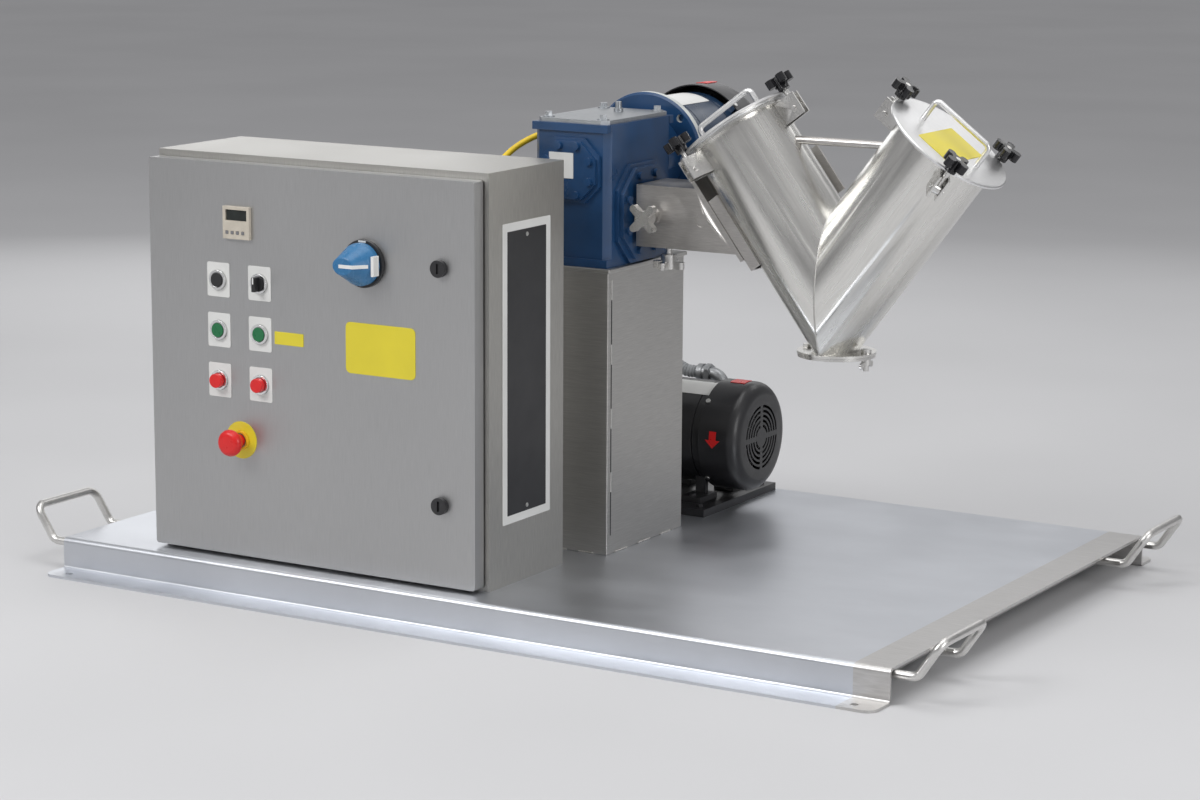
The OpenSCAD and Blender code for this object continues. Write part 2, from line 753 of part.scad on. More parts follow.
// Door: folded front, opened for what it carries
module door_panel() {
    x1 = door_w - 2 * door_t;
    z1 = door_h - 2 * door_t;
    color("silver") difference() {
        translate([door_x0, door_y1, door_z0]) to_front() linear_extrude(door_d) round_rect(door_w, door_h, door_r);
        translate([door_x0 + door_t, door_in_y, door_z0 + door_t]) cube([x1, door_d, z1]);
        for (x = [col_a, col_b], z = [row_a, row_b, row_c]) on_door(x, z)
            translate([0, 0, -door_t - over]) cylinder(r = stem_hole_r, h = door_t + 2 * over);
        on_door(mid_in, mushroom_z) translate([0, 0, -door_t - over]) cylinder(r = stem_hole_r, h = door_t + 2 * over);
        on_door(discon_x, discon_z) translate([0, 0, -door_t - over]) cylinder(r = discon_socket_r, h = door_t + 2 * over);
        for (z = [latch_hi, latch_lo]) on_door(latch_x, z)
            translate([0, 0, -door_t - over]) cylinder(r = latch_shaft_r + fit, h = door_t + 2 * over);
        on_door(mid_in - 0.45 * timer_side, timer_z - 0.45 * timer_side)
            translate([0, 0, -door_t - over]) cube([0.9 * timer_side, 0.9 * timer_side, door_t + 2 * over]);
    }
    // Hinge knuckles and leaves
    for (z = hinge_zs) color("silver") difference() {
        union() {
            translate([hinge_x, hinge_y, z]) cylinder(r = knuckle_r, h = knuckle_h);
            translate([door_x0 - door_t, hinge_y - door_d / 2 - knuckle_r, z]) cube([door_t, door_d / 2 + knuckle_r, knuckle_h]);
            translate([hinge_x, hinge_y - knuckle_r, z]) cube([knuckle_r - door_t, knuckle_r, knuckle_h]);
        }
        translate([hinge_x, hinge_y, z - over]) cylinder(r = pin_r + fit, h = knuckle_h + 2 * over);
    }
}

module door_gasket() {
    seal_w = 12;
    seal_h = encl_y0 - rim_h - door_in_y - seat;
    x = (encl_x0 + frame_w - door_x0) - seal_w / 2;
    z = (deck_h + frame_w - door_z0) - seal_w / 2;
    w = encl_w - 2 * frame_w + seal_w;
    h = encl_h - 2 * frame_w + seal_w;
    color("black") translate([door_x0 + x, door_in_y + seal_h, door_z0 + z]) to_front() linear_extrude(seal_h) difference() {
        square([w, h]);
        translate([seal_w, seal_w]) square([w - 2 * seal_w, h - 2 * seal_w]);
    }
}

module timer() {
    lip = timer_side / 10;
    rise = timer_side / 8;
    body = 0.9 * timer_side - 2 * seat;
    key = timer_side / 9;
    color("tan") on_door(mid_in, timer_z) difference() {
        translate([-timer_side / 2, -timer_side / 2, 0]) cube([timer_side, timer_side, rise]);
        translate([lip - timer_side / 2, timer_side / 16, rise / 2]) cube([timer_side - 2 * lip, timer_side / 3, rise]);
        for (i = [0:3]) translate([lip - timer_side / 2 + i * (timer_side - 2 * lip) / 4, -0.36 * timer_side, rise - door_t / 2])
            cube([key, key, rise]);
    }
    color("dimgray") on_door(mid_in, timer_z) translate([-body / 2, -body / 2, -1.2 * timer_side])
        cube([body, body, 1.2 * timer_side]);
}

// Bezel ring on the door with its contact block behind
module bezel_unit(ro, h, bore) {
    tube(ro, bore, h);
    translate([0, 0, -door_t - block_h]) difference() {
        translate([-block_side / 2, -block_side / 2, 0]) cube([block_side, block_side, block_h]);
        translate([0, 0, block_h - button_travel - stem_tail]) cylinder(r = stem_hole_r, h = block_h);
    }
}

module door_bezels() {
    for (x = [col_a, col_b], z = [row_a, row_b, row_c])
        color("silver") on_door(x, z) bezel_unit(bezel_r, bezel_h, button_r + 2 * seat);
    color("gold") on_door(mid_in, mushroom_z) bezel_unit(bezel_r, bezel_h, button_r + 2 * seat);
    color("black") on_door(discon_x, discon_z) tube(discon_base_r, discon_socket_r + seat, discon_base_h);
}

// Push button: cap, stem through the door, and the stem's end in the contact block
module push_button(x, z, proud) {
    cap_h = bezel_h + proud;
    on_door(x, z) {
        translate([0, 0, button_travel + seat]) cylinder(r = button_r, h = cap_h - button_travel - seat);
        translate([0, 0, -door_t - stem_tail + seat]) cylinder(r = stem_r, h = door_t + stem_tail + button_travel);
    }
}

module blend_start() color("seagreen") push_button(col_a, row_b, start_proud);
module chopper_start() color("seagreen") push_button(col_b, row_b, start_proud);
module blend_stop() color("red") push_button(col_a, row_c, stop_proud);
module chopper_stop() color("red") push_button(col_b, row_c, stop_proud);
module jog_button() color("black") push_button(col_a, row_a, start_proud);

module emergency_stop() {
    neck_h = bezel_h + 0.7 * mushroom_r;
    dome_h = 0.45 * mushroom_r;
    color("red") on_door(mid_in, mushroom_z) {
        translate([0, 0, button_travel + seat]) cylinder(r = 0.9 * button_r, h = neck_h - button_travel);
        translate([0, 0, -door_t - stem_tail + seat]) cylinder(r = stem_r, h = door_t + stem_tail + button_travel);
        translate([0, 0, neck_h]) rotate_extrude() polygon(concat([[0, 0], [0.8 * mushroom_r, 0]],
            arc(mushroom_r - dome_h, dome_h, dome_h, -20, 90), [[0, 2 * dome_h]]));
    }
}

module selector_knob() {
    wing_w = 0.5 * button_r;
    cap_h = bezel_h + start_proud;
    color("black") on_door(col_b, row_a) {
        translate([0, 0, seat]) cylinder(r = button_r, h = cap_h);
        translate([-wing_w / 2, -button_r, cap_h]) cube([wing_w, 2 * button_r, button_r]);
        translate([0, 0, -door_t - stem_tail + seat]) cylinder(r = stem_r, h = door_t + stem_tail);
    }
}

// Quarter-turn latch, its cam pointing down when it is free
module latch(z) {
    head_h = latch_d / 3;
    shaft_l = cam_y0 + cam_t - door_y0;
    color("black") on_door(latch_x, z) {
        difference() {
            translate([0, 0, seat]) cylinder(d = latch_d, h = head_h);
            translate([-latch_d / 12, -0.3 * latch_d, 0.7 * head_h]) cube([latch_d / 6, 0.6 * latch_d, head_h]);
        }
        translate([0, 0, -shaft_l]) cylinder(r = latch_shaft_r, h = shaft_l + head_h / 2);
        translate([-latch_d / 4, -cam_l, -shaft_l]) cube([latch_d / 2, cam_l + latch_d / 4, cam_t]);
    }
}
module latch_upper() latch(latch_hi);
module latch_lower() latch(latch_lo);

// Rotary handle: skirt, waisted grip and a socket for the shaft
module disconnect_handle() {
    skirt_r = discon_d / 2;
    skirt_h = 0.35 * discon_h;
    grip_t = 0.36 * discon_d;
    color("steelblue") on_door(discon_x, discon_z) translate([0, 0, discon_base_h + seat]) difference() {
        union() {
            rotate_extrude() polygon(concat([[0, 0], [skirt_r, 0]],
                arc(skirt_r - 0.4 * skirt_h, 0.6 * skirt_h, 0.4 * skirt_h, 0, 90), [[0, skirt_h]]));
            intersection() {
                cylinder(r = 0.94 * skirt_r, h = discon_h - discon_base_h);
                translate([-grip_t / 2, -skirt_r, 0]) cube([grip_t, 2 * skirt_r, discon_h - discon_base_h]);
            }
        }
        translate([0, 0, -over]) cylinder(r = discon_socket_r, h = discon_socket_h + over);
    }
}

// Gearbox
module gearbox_housing() {
    color("steelblue") difference() {
        union() {
            translate([gear_x0, gear_y0, gear_z0]) cube([gear_w, gear_d, gear_foot_h]);
            translate([gear_x0 + gear_w / 2, gear_y0 + gear_d / 2, gear_z0])
                linear_extrude(gear_h) cut_rect(gear_w, gear_d - 2 * cap_out, gear_chamfer);
            for (y = [gear_y0, gear_y1 - gear_foot_h]) translate([gear_x0, y, gear_z1 - gear_foot_h])
                cube([gear_w, gear_foot_h, gear_foot_h]);
            translate([motor_x, gear_y1 - gear_chamfer - cap_out, motor_z]) to_back()
                cylinder(r = neck_r, h = neck_l + gear_chamfer + cap_out);
        }
        translate([gear_x0 - over, axis_y, axis_z]) along_x() cylinder(r = out_shaft_r + fit, h = gear_w + 2 * over);
        translate([motor_x, gear_y1 + neck_l + over, motor_z]) to_front()
            cylinder(r = motor_shaft_r + fit, h = neck_l + blend_stub_l + over);
    }
}

// Octagonal cover with its rim screws, its bore along Z
module octagon_cover(w, h, t, bore) {
    difference() {
        union() {
            linear_extrude(t / 2) cut_rect(w, h, 0.24 * w);
            linear_extrude(t) cut_rect(w - t, h - t, 0.24 * w);
        }
        if (bore > 0) translate([0, 0, -over]) cylinder(r = bore, h = t + 2 * over);
    }
    for (a = [22.5:45:360]) rotate([0, 0, a]) translate([0.41 * min(w, h), 0, t]) cylinder(r = cap_screw_r, h = cap_screw_h);
}

module gearbox_covers() {
    bolt_x = gear_w / 2 - 3 * cap_screw_r;
    bolt_y = gear_d / 2 - 3 * cap_screw_r;
    color("silver") translate([gear_x0 + gear_w / 2, gear_y0 + gear_d / 2, gear_z1]) {
        linear_extrude(top_cover_t) cut_rect(gear_w - 2 * cap_out, gear_d - 2 * cap_out, gear_chamfer);
        for (sx = [-1, 1], sy = [-1, 1]) translate([sx * bolt_x, sy * bolt_y, top_cover_t]) {
            cylinder(r = 1.5 * cap_screw_r, h = cap_screw_h / 3);
            cylinder(r = cap_screw_r, h = 1.6 * cap_screw_h, $fn = 6);
        }
        translate([0, bolt_y - 6 * cap_screw_r, top_cover_t]) {
            cylinder(r = 1.2 * cap_screw_r, h = cap_screw_h);
            cylinder(r = 0.8 * cap_screw_r, h = 3 * cap_screw_h);
        }
    }
    color("steelblue") translate([gear_x1, axis_y, axis_z]) along_x() rotate([0, 0, 90])
        octagon_cover(out_cover_w, out_cover_h, out_cover_t, out_shaft_r + fit);
    color("steelblue") translate([gear_x0, axis_y, axis_z]) rotate([0, -90, 0]) rotate([0, 0, 90])
        octagon_cover(out_cover_w, out_cover_h, out_cover_t, out_shaft_r + fit);
    color("steelblue") translate([motor_x, gear_y0 + cap_out, motor_z]) to_front()
        octagon_cover(front_cover_w, front_cover_h, front_cover_t, 0);
}

// Motors, along Z from their drive-end face
module motor_case(r, l) {
    bell = bell_share * l;
    edge = bell / 3;
    difference() {
        rotate_extrude() polygon(concat([[0, 0], [r - 2 * edge, 0]], arc(r - edge, edge, edge, -90, 0),
            [[r, l - edge], [r - edge, l], [0, l]]));
        translate([0, 0, -over]) cylinder(r = motor_shaft_r + fit, h = l + 2 * over);
        for (z = [bell, l - bell]) translate([0, 0, z]) difference() {
            cylinder(r = r + over, h = cowl_t);
            translate([0, 0, -over]) cylinder(r = r - cowl_t, h = cowl_t + 2 * over);
        }
    }
}

// Lugs that carry the cowl on the end of the case
module cowl_lugs(r, l, out) {
    lug_w = 6 * cowl_t;
    intersection() {
        cylinder(r = r + out - cowl_t - fit, h = l);
        for (a = [45:90:360]) rotate([0, 0, a]) translate([r - 2 * cowl_t, -lug_w / 2, l - lug_w])
            cube([2 * cowl_t + out, lug_w, lug_w - cowl_gap]);
    }
}

// Cowl with a rounded end, opened by arc slots that leave four bridges
module fan_cowl(r, l, out) {
    ro = r + out;
    top = l + cowl_l;
    bottom = l - 6 * cowl_t;
    ring_step = (grille_r1 - grille_r0) / grille_rings;
    difference() {
        rotate_extrude() polygon(concat([[ro - cowl_t, bottom], [ro, bottom]],
            arc(ro - cowl_round, top - cowl_round, cowl_round, 0, 90), [[0, top], [0, top - cowl_t]],
            arc(ro - cowl_round, top - cowl_round, cowl_round - cowl_t, 90, 0)));
        translate([0, 0, top - cowl_t - over]) for (i = [0:grille_rings - 1], a = [0:90:270]) {
            bridge = asin(grille_slot / (grille_r0 + i * ring_step));
            rotate([0, 0, a + bridge]) rotate_extrude(angle = 90 - 2 * bridge)
                translate([grille_r0 + i * ring_step, 0]) square([grille_slot, cowl_t + 2 * over]);
        }
    }
    for (a = [45:90:360]) rotate([0, 0, a]) translate([ro, 0, l - 3 * cowl_t - cowl_gap / 2]) along_x()
        cylinder(r = 2 * cowl_t, h = cowl_t);
}

// Shaft and fan, the shaft standing out of the drive end by stub
module motor_rotor(r, l, stub) {
    blade_h = cowl_l - cowl_t - 3 * fan_clear;
    translate([0, 0, -stub]) cylinder(r = motor_shaft_r, h = stub + l + fan_clear + blade_h);
    translate([0, 0, l + fan_clear]) {
        cylinder(r = fan_hub_r, h = blade_h);
        cylinder(r = r - fan_clear, h = fan_t);
        for (i = [0:fan_blades - 1]) rotate([0, 0, i * 360 / fan_blades])
            translate([0, -fan_t / 2, 0]) cube([r - fan_clear, fan_t, blade_h]);
    }
}

// Connection box: body and lid with its screws, its back at Z zero
module connection_box() {
    lid_h = box_d / 4;
    translate([-box_w / 2, -box_h / 2, 0]) cube([box_w, box_h, box_d - lid_h]);
    translate([0, 0, box_d - lid_h]) linear_extrude(lid_h) cut_rect(box_w - cap_out / 2, box_h - cap_out / 2, cap_out);
    for (sx = [-1, 1], sy = [-1, 1]) translate([sx * 0.4 * box_w, sy * 0.4 * box_h, box_d])
        cylinder(r = cap_screw_r / 2, h = cap_screw_h / 2);
}

module motor_flange() {
    color("gainsboro") translate([motor_x, blend_y0 - flange_t, motor_z]) to_back() difference() {
        rotate_extrude() polygon([[0, 0], [flange_r - flange_t / 4, 0], [flange_r, flange_t / 4],
            [flange_r, flange_t], [0, flange_t]]);
        translate([0, 0, -over]) cylinder(r = motor_shaft_r + 2 * cap_screw_r, h = flange_t + 2 * over);
        for (a = [45:90:360]) rotate([0, 0, a]) translate([flange_r - 2 * cap_screw_r, 0, -over])
            cylinder(r = cap_screw_r, h = flange_t / 2 + over);
    }
}

module blend_motor_body() {
    color("steelblue") translate([motor_x, blend_y0, motor_z]) to_back() {
        motor_case(blend_r, blend_l);
        cowl_lugs(blend_r, blend_l, 2 * cowl_out);
    }
    color("steelblue") translate([motor_x - blend_r + 2 * cowl_t, blend_box_y + box_w / 2, motor_z]) rotate([0, -90, 0])
        rotate([0, 0, 90]) connection_box();
}

module blend_fan_cover()
    color("dimgray") translate([motor_x, blend_y0, motor_z]) to_back() fan_cowl(blend_r, blend_l, 2 * cowl_out);

module blend_motor_rotor()
    color("silver") translate([motor_x, blend_y0, motor_z]) to_back()
        motor_rotor(blend_r, blend_l, flange_t + neck_l + blend_stub_l - seat);

module chopper_motor_body() {
    foot_l = 2 * foot_h;
    foot_z = deck_h + slide_t;
    color("dimgray") translate([chop_x0, chop_y, chop_axis_z]) along_x() {
        motor_case(chop_r, chop_l);
        cowl_lugs(chop_r, chop_l, cowl_out);
    }
    color("dimgray") translate([chop_box_x, chop_y + chop_r - 2 * cowl_t, chop_axis_z]) to_back() connection_box();
    // Feet with webs up to the case
    color("dimgray") for (x = [foot_l, chop_l - 2 * foot_l], s = [-1, 1]) difference() {
        translate([chop_x0 + x - foot_l / 2, chop_y, foot_z]) mirror([0, s < 0 ? 1 : 0, 0]) {
            translate([0, chop_r / 3, 0]) cube([2 * foot_l, foot_w / 2 - chop_r / 3, foot_h]);
            translate([foot_l / 2, chop_r / 2, 0]) cube([foot_l, foot_h, 0.7 * chop_r]);
        }
        translate([chop_x0 - over, chop_y, chop_axis_z]) along_x() cylinder(r = chop_r - cowl_t, h = chop_l + 2 * over);
    }
    // Foot bolts, and the slide base with its floor bolts
    color("silver") for (x = [foot_l, chop_l - 2 * foot_l], s = [-1, 1])
        translate([chop_x0 + x + foot_l / 2, chop_y + s * (foot_w / 2 - foot_h), foot_z + foot_h])
            cylinder(r = cap_screw_r, h = cap_screw_h, $fn = 6);
    color("dimgray") translate([chop_x0 + slide_in_x, chop_y - slide_l / 2, deck_h]) cube([slide_w, slide_l, slide_t]);
    color("silver") for (sx = [0, 1], s = [-1, 1])
        translate([chop_x0 + slide_in_x + foot_l + sx * (slide_w - 2 * foot_l), chop_y + s * (slide_l / 2 - foot_l), deck_h + slide_t])
            cylinder(r = cap_screw_r, h = cap_screw_h, $fn = 6);
}

module chopper_fan_cover()
    color("dimgray") translate([chop_x0, chop_y, chop_axis_z]) along_x() fan_cowl(chop_r, chop_l, cowl_out);

// Pulley across Z zero with its flanges
module pulley(r) {
    w = belt_w + 2 * seat;
    translate([0, 0, -w / 2 - pulley_rim]) cylinder(r = r, h = w + 2 * pulley_rim);
    for (z = [-w / 2 - pulley_rim, w / 2]) translate([0, 0, z]) cylinder(r = r + belt_t, h = pulley_rim);
}

module chopper_motor_rotor() {
    color("silver") translate([chop_x0, chop_y, chop_axis_z]) along_x()
        motor_rotor(chop_r, chop_l, chop_x0 - belt_x + belt_w);
    color("silver") translate([belt_x, chop_y, chop_axis_z]) along_x() pulley(drive_r);
}

// Belt drive
module belt_outline(g) polygon(concat(
    arc(axis_y, axis_z, driven_r + g, run_angle - tangent_angle, run_angle + tangent_angle, 24),
    arc(chop_y, chop_axis_z, drive_r + g, run_angle + tangent_angle, run_angle + 360 - tangent_angle, 24)));
module belt_solid(x, w, g) translate([x, 0, 0]) rotate([90, 0, 90]) linear_extrude(w) belt_outline(g);

module drive_belt() color("black") difference() {
    belt_solid(belt_x - belt_w / 2, belt_w, belt_t + seat);
    belt_solid(belt_x - belt_w / 2 - over, belt_w + 2 * over, seat);
}

module belt_guard() color("silver") difference() {
    belt_solid(col_x0 - guard_w, guard_w, guard_gap_r + guard_t);
    belt_solid(col_x0 - guard_w + guard_t, guard_w - 2 * guard_t, guard_gap_r);
    translate([col_x0 - 2 * guard_t, axis_y, axis_z]) along_x() cylinder(r = out_bore_r, h = 4 * guard_t);
    translate([col_x0 - 2 * guard_t, chop_y, chop_axis_z]) along_x() cylinder(r = motor_shaft_r + fan_clear, h = 4 * guard_t);
}

// Shaft from the belt through the hollow output shaft into the vessel, with its cutting bars
module chopper_shaft() {
    bar = chop_shaft_r;
    x0 = belt_x - belt_w;
    color("silver") translate([x0, axis_y, axis_z]) along_x() cylinder(r = chop_shaft_r, h = vessel_x + 2 * bar - x0);
    color("silver") translate([belt_x, axis_y, axis_z]) along_x() pulley(driven_r);
    color("silver") for (i = [0:2]) translate([vessel_x + (i - 1.5) * bar, axis_y, axis_z]) rotate([i * 60, 0, 0])
        translate([-bar / 4, -bar / 2, -blade_reach]) cube([bar / 2, bar, 2 * blade_reach]);
}

// Rotating arm
module output_shaft() {
    hub_side = arm_side - 2 * arm_t - 2 * fit;
    x0 = gear_x0 - out_cover_t / 2;
    color("silver") difference() {
        union() {
            translate([x0, axis_y, axis_z]) along_x() cylinder(r = out_shaft_r, h = arm_x0 + hub_l - x0);
            translate([arm_x0, axis_y - hub_side / 2, axis_z - hub_side / 2]) cube([hub_l, hub_side, hub_side]);
        }
        translate([x0 - over, axis_y, axis_z]) along_x() cylinder(r = out_bore_r, h = arm_x0 + hub_l - x0 + 2 * over);
    }
}

// Everything left of the face that the end plate bolts to
module left_of_plate() leg_frame(-1) translate([plate_n0, -reach, -reach]) cube([2 * reach, 2 * reach, 2 * reach]);

module arm_sleeve() {
    collar_r = 2 * knob_stud_r;
    half = arm_side / 2;
    color("silver") difference() {
        union() {
            intersection() {
                translate([arm_x0, axis_y - half, axis_z - half]) cube([vessel_x - arm_x0, arm_side, arm_side]);
                left_of_plate();
            }
            leg_frame(-1) translate([plate_n0, -half, arm_s0]) cube([end_plate_t, arm_side, plate_s1 - arm_s0]);
            translate([arm_x0 + knob_in, axis_y - half + over, axis_z]) to_front() cylinder(r = collar_r, h = knob_stud_r + over);
            translate([arm_x0 + knob_in, axis_y, axis_z - half + over]) rotate([180, 0, 0])
                cylinder(r = collar_r, h = knob_stud_r + over);
        }
        intersection() {
            translate([arm_x0 - over, axis_y - half + arm_t, axis_z - half + arm_t])
                cube([vessel_x - arm_x0, arm_side - 2 * arm_t, arm_side - 2 * arm_t]);
            leg_frame(-1) translate([plate_n1, -reach, -reach]) cube([2 * reach, 2 * reach, 2 * reach]);
        }
        translate([arm_x0 + hub_l, axis_y, axis_z]) along_x() cylinder(r = bush_r + fit, h = vessel_x - arm_x0 - hub_l);
        translate([arm_x0 + knob_in, axis_y - half + 2 * arm_t, axis_z]) to_front()
            cylinder(r = knob_stud_r + fit, h = knob_reach + arm_t);
        translate([arm_x0 + knob_in, axis_y, axis_z - half + 2 * arm_t]) rotate([180, 0, 0])
            cylinder(r = knob_stud_r + fit, h = knob_reach + arm_t);
        translate([arm_x0 + arm_side + 0.6 * knob_in, axis_y - half - over, axis_z]) to_back() cylinder(r = 2 * knob_stud_r, h = over + arm_t / 5);
    }
}

// Four-armed hand knob on a stud, its stud starting at Z zero
module arm_knob() {
    arm_w = 0.42 * arm_knob_r;
    head = knob_reach + arm_t;
    cylinder(r = knob_stud_r, h = head + arm_w / 2);
    translate([0, 0, head - arm_w]) cylinder(r = 0.45 * arm_knob_r, h = 2 * arm_w);
    for (a = [0, 90]) rotate([0, 0, a]) translate([-(arm_knob_r - arm_w / 2), -arm_w / 2, head])
        cube([2 * arm_knob_r - arm_w, arm_w, arm_w]);
    for (a = [0:90:270]) rotate([0, 0, a]) translate([arm_knob_r - arm_w / 2, 0, head]) cylinder(r = arm_w / 2, h = arm_w);
}

module arm_knob_front()
    color("silver") translate([arm_x0 + knob_in, axis_y - arm_side / 2 + arm_t - seat, axis_z]) to_front() rotate([0, 0, 45])
        arm_knob();
module arm_knob_bottom()
    color("silver") translate([arm_x0 + knob_in, axis_y, axis_z - arm_side / 2 + arm_t - seat]) rotate([180, 0, 0]) arm_knob();

// Vessel
module leg_hull(r, l) for (side = [-1, 1]) intersection() {
    leg_frame(side) translate([0, 0, -reach / 2]) cylinder(r = r, h = l + reach / 2);
    translate([vessel_x - (side < 0 ? reach : 0), axis_y - reach / 2, meet_z - reach / 2]) cube([reach, reach, 2 * reach]);
}

module vessel_shell() {
    bore_r = leg_r - leg_t;
    color("silver") difference() {
        union() {
            leg_hull(leg_r, leg_l);
            for (side = [-1, 1]) leg_frame(side) translate([0, 0, leg_l - rim_ring_t]) cylinder(r = rim_ring_r, h = rim_ring_t);
        }
        leg_hull(bore_r, leg_l + over);
        translate([vessel_x - leg_r, axis_y - leg_r, tip_z - spout_lift]) cube([2 * leg_r, 2 * leg_r, 2 * spout_lift]);
        translate([arm_x0 + arm_side, axis_y, axis_z]) along_x() cylinder(r = bush_r + fit, h = leg_r + arm_side);
    }
    color("silver") translate([vessel_x, axis_y, spout_z - spout_t]) difference() {
        cylinder(r = spout_r, h = spout_t);
        translate([0, 0, -over]) cylinder(r = spout_bore_r, h = spout_t + 2 * over);
        for (s = [-1, 1]) translate([s * (spout_r - spout_bolt_in), 0, -over]) cylinder(r = spout_pin_r, h = spout_t + 2 * over);
    }
}

module vessel_bracket() {
    half = arm_side / 2 - saddle_wall + over;
    color("silver") difference() {
        leg_frame(-1) union() {
            for (s = [-1, 1]) translate([leg_r / 2, s * half - (s > 0 ? saddle_wall : 0), saddle_s0])
                cube([leg_r / 2 + saddle_t, saddle_wall, saddle_s1 - saddle_s0]);
            translate([leg_r, -half, saddle_s0]) cube([saddle_t, 2 * half, saddle_s1 - saddle_s0]);
            translate([leg_r, 0, back_s0]) cube([saddle_t, leg_r + back_t, back_s1 - back_s0]);
            translate([-back_in_n, leg_r, back_s0]) cube([back_in_n + leg_r + saddle_t, back_t, back_s1 - back_s0]);
        }
        leg_frame(-1) cylinder(r = leg_r + fit / 2, h = leg_l);
        translate([arm_x0 + hub_l, axis_y, axis_z]) along_x() cylinder(r = bush_r, h = vessel_x - arm_x0 - hub_l);
    }
    // Seal bush that the chopper shaft runs in
    color("silver") translate([bush_x0, axis_y, axis_z]) along_x() tube(bush_r, chop_shaft_r + fit, bush_x1 - bush_x0);
    // Tie rod between the legs, coped to them
    color("silver") difference() {
        translate([vessel_x - leg_r, axis_y, meet_z + tie_s * cos(leg_angle) + leg_r * sin(leg_angle)]) along_x()
            cylinder(d = tie_d, h = 2 * leg_r);
        for (side = [-1, 1]) leg_frame(side) cylinder(r = leg_r + fit / 2, h = leg_l);
    }
}

// Lug pairs with their pins, the discharge pivot bolt and the discharge stud
module clamp_lugs() {
    in = clamp_n - leg_r;
    color("silver") for (side = [-1, 1]) difference() {
        for (a = clamp_angles, s = [-1, 1]) clamp_frame(side, a)
            translate([-in - leg_t, s > 0 ? lug_in : -lug_in - lug_t, -lug_down]) cube([in + leg_t + lug_out, lug_t, lug_down + lug_up]);
        leg_frame(side) cylinder(r = leg_r + fit / 2, h = leg_l);
    }
    for (side = [-1, 1], a = clamp_angles) color("silver") clamp_frame(side, a)
        translate([0, lug_in + lug_t + lug_t, 0]) to_front() cylinder(r = bolt_r, h = 2 * (lug_in + 2 * lug_t));
    spout_bolt_x = spout_r - spout_bolt_in;
    head_h = 1.4 * spout_pin_r;
    low = cover_z0 - seat;
    color("silver") translate([vessel_x - spout_bolt_x, axis_y, 0]) {
        translate([0, 0, low - head_h]) cylinder(r = spout_pin_r, h = spout_z - low + 2 * head_h);
        translate([0, 0, spout_z]) cylinder(r = 1.7 * spout_pin_r, h = head_h, $fn = 6);
        translate([0, 0, low - head_h]) cylinder(r = 1.7 * spout_pin_r, h = head_h, $fn = 6);
    }
    color("silver") translate([vessel_x + spout_bolt_x, axis_y, 0]) {
        translate([0, 0, low - 2 * wing_h]) cylinder(r = spout_pin_r, h = spout_z - low + head_h + 2 * wing_h);
        translate([0, 0, spout_z]) cylinder(r = 1.9 * spout_pin_r, h = head_h);
    }
}

// Swing bolt: eye on the pin, shank and its rounded tip
module swing_bolt(side, a) color("silver") clamp_frame(side, a) {
    difference() {
        union() {
            translate([0, eye_w / 2, 0]) to_front() cylinder(r = eye_r, h = eye_w);
            cylinder(r = bolt_r, h = bolt_top);
        }
        translate([0, eye_w, 0]) to_front() cylinder(r = bolt_r + fit, h = 2 * eye_w);
    }
}
module swing_bolt_l1() swing_bolt(-1, clamp_angles[0]);
module swing_bolt_l2() swing_bolt(-1, clamp_angles[1]);
module swing_bolt_l3() swing_bolt(-1, clamp_angles[2]);
module swing_bolt_r1() swing_bolt(1, clamp_angles[0]);
module swing_bolt_r2() swing_bolt(1, clamp_angles[1]);
module swing_bolt_r3() swing_bolt(1, clamp_angles[2]);

// Star knob: hub, four lobes and a dished top
module star_knob(side, a) color("dimgray") clamp_frame(side, a) translate([0, 0, knob_s0 - clamp_s]) difference() {
    union() {
        cylinder(r = hub_r, h = hub_h + star_h);
        translate([0, 0, hub_h]) {
            for (i = [0:3]) rotate([0, 0, 45 + 90 * i]) {
                translate([star_r - lobe_r, 0, 0]) cylinder(r = lobe_r, h = star_h);
                translate([0, -0.8 * lobe_r, 0]) cube([star_r - lobe_r, 1.6 * lobe_r, star_h]);
            }
        }
    }
    translate([0, 0, -over]) cylinder(r = bolt_r + fit, h = hub_h + star_h + 2 * over);
}
module star_knob_l1() star_knob(-1, clamp_angles[0]);
module star_knob_l2() star_knob(-1, clamp_angles[1]);
module star_knob_l3() star_knob(-1, clamp_angles[2]);
module star_knob_r1() star_knob(1, clamp_angles[0]);
module star_knob_r2() star_knob(1, clamp_angles[1]);
module star_knob_r3() star_knob(1, clamp_angles[2]);

// Lid with its handle rod, and the seal ring under it
module lid(side) {
    notch_r = bolt_r + 2 * seat;
    bend = lid_rod_d;
    half_l = lid_grip_l / 2;
    rod_r = lid_rod_d / 2;
    color("silver") leg_frame(side) difference() {
        union() {
            translate([0, 0, lid_s0]) rotate_extrude() polygon([[0, 0], [lid_r, 0], [lid_r, 0.6 * lid_t],
                [lid_r - 0.4 * lid_t, lid_t], [0, lid_t]]);
            for (s = [0, 1]) mirror([s, 0, 0]) translate([half_l - rod_r, 0, lid_s1 - lid_t / 2])
                rotate([0, 0, 180]) {
                    cylinder(r = rod_r, h = lid_grip_h - rod_r - bend + lid_t / 2);
                    translate([0, 0, lid_grip_h - rod_r - bend + lid_t / 2]) {
                        elbow(90, bend, rod_r);
                        after_elbow(90, bend) cylinder(r = rod_r, h = half_l - rod_r - bend);
                    }
                }
        }
        for (a = clamp_angles) rotate([0, 0, a]) translate([clamp_n, 0, lid_s0 - over]) {
            cylinder(r = notch_r, h = lid_t + 2 * over);
            translate([0, -notch_r, 0]) cube([notch_r, 2 * notch_r, lid_t + 2 * over]);
        }
    }
    color("white") leg_frame(side) translate([0, 0, leg_l + seat]) tube(rim_ring_r - seat, leg_r - leg_t, seal_t - seat + lid_t / 2);
}
module lid_left() lid(-1);
module lid_right() lid(1);

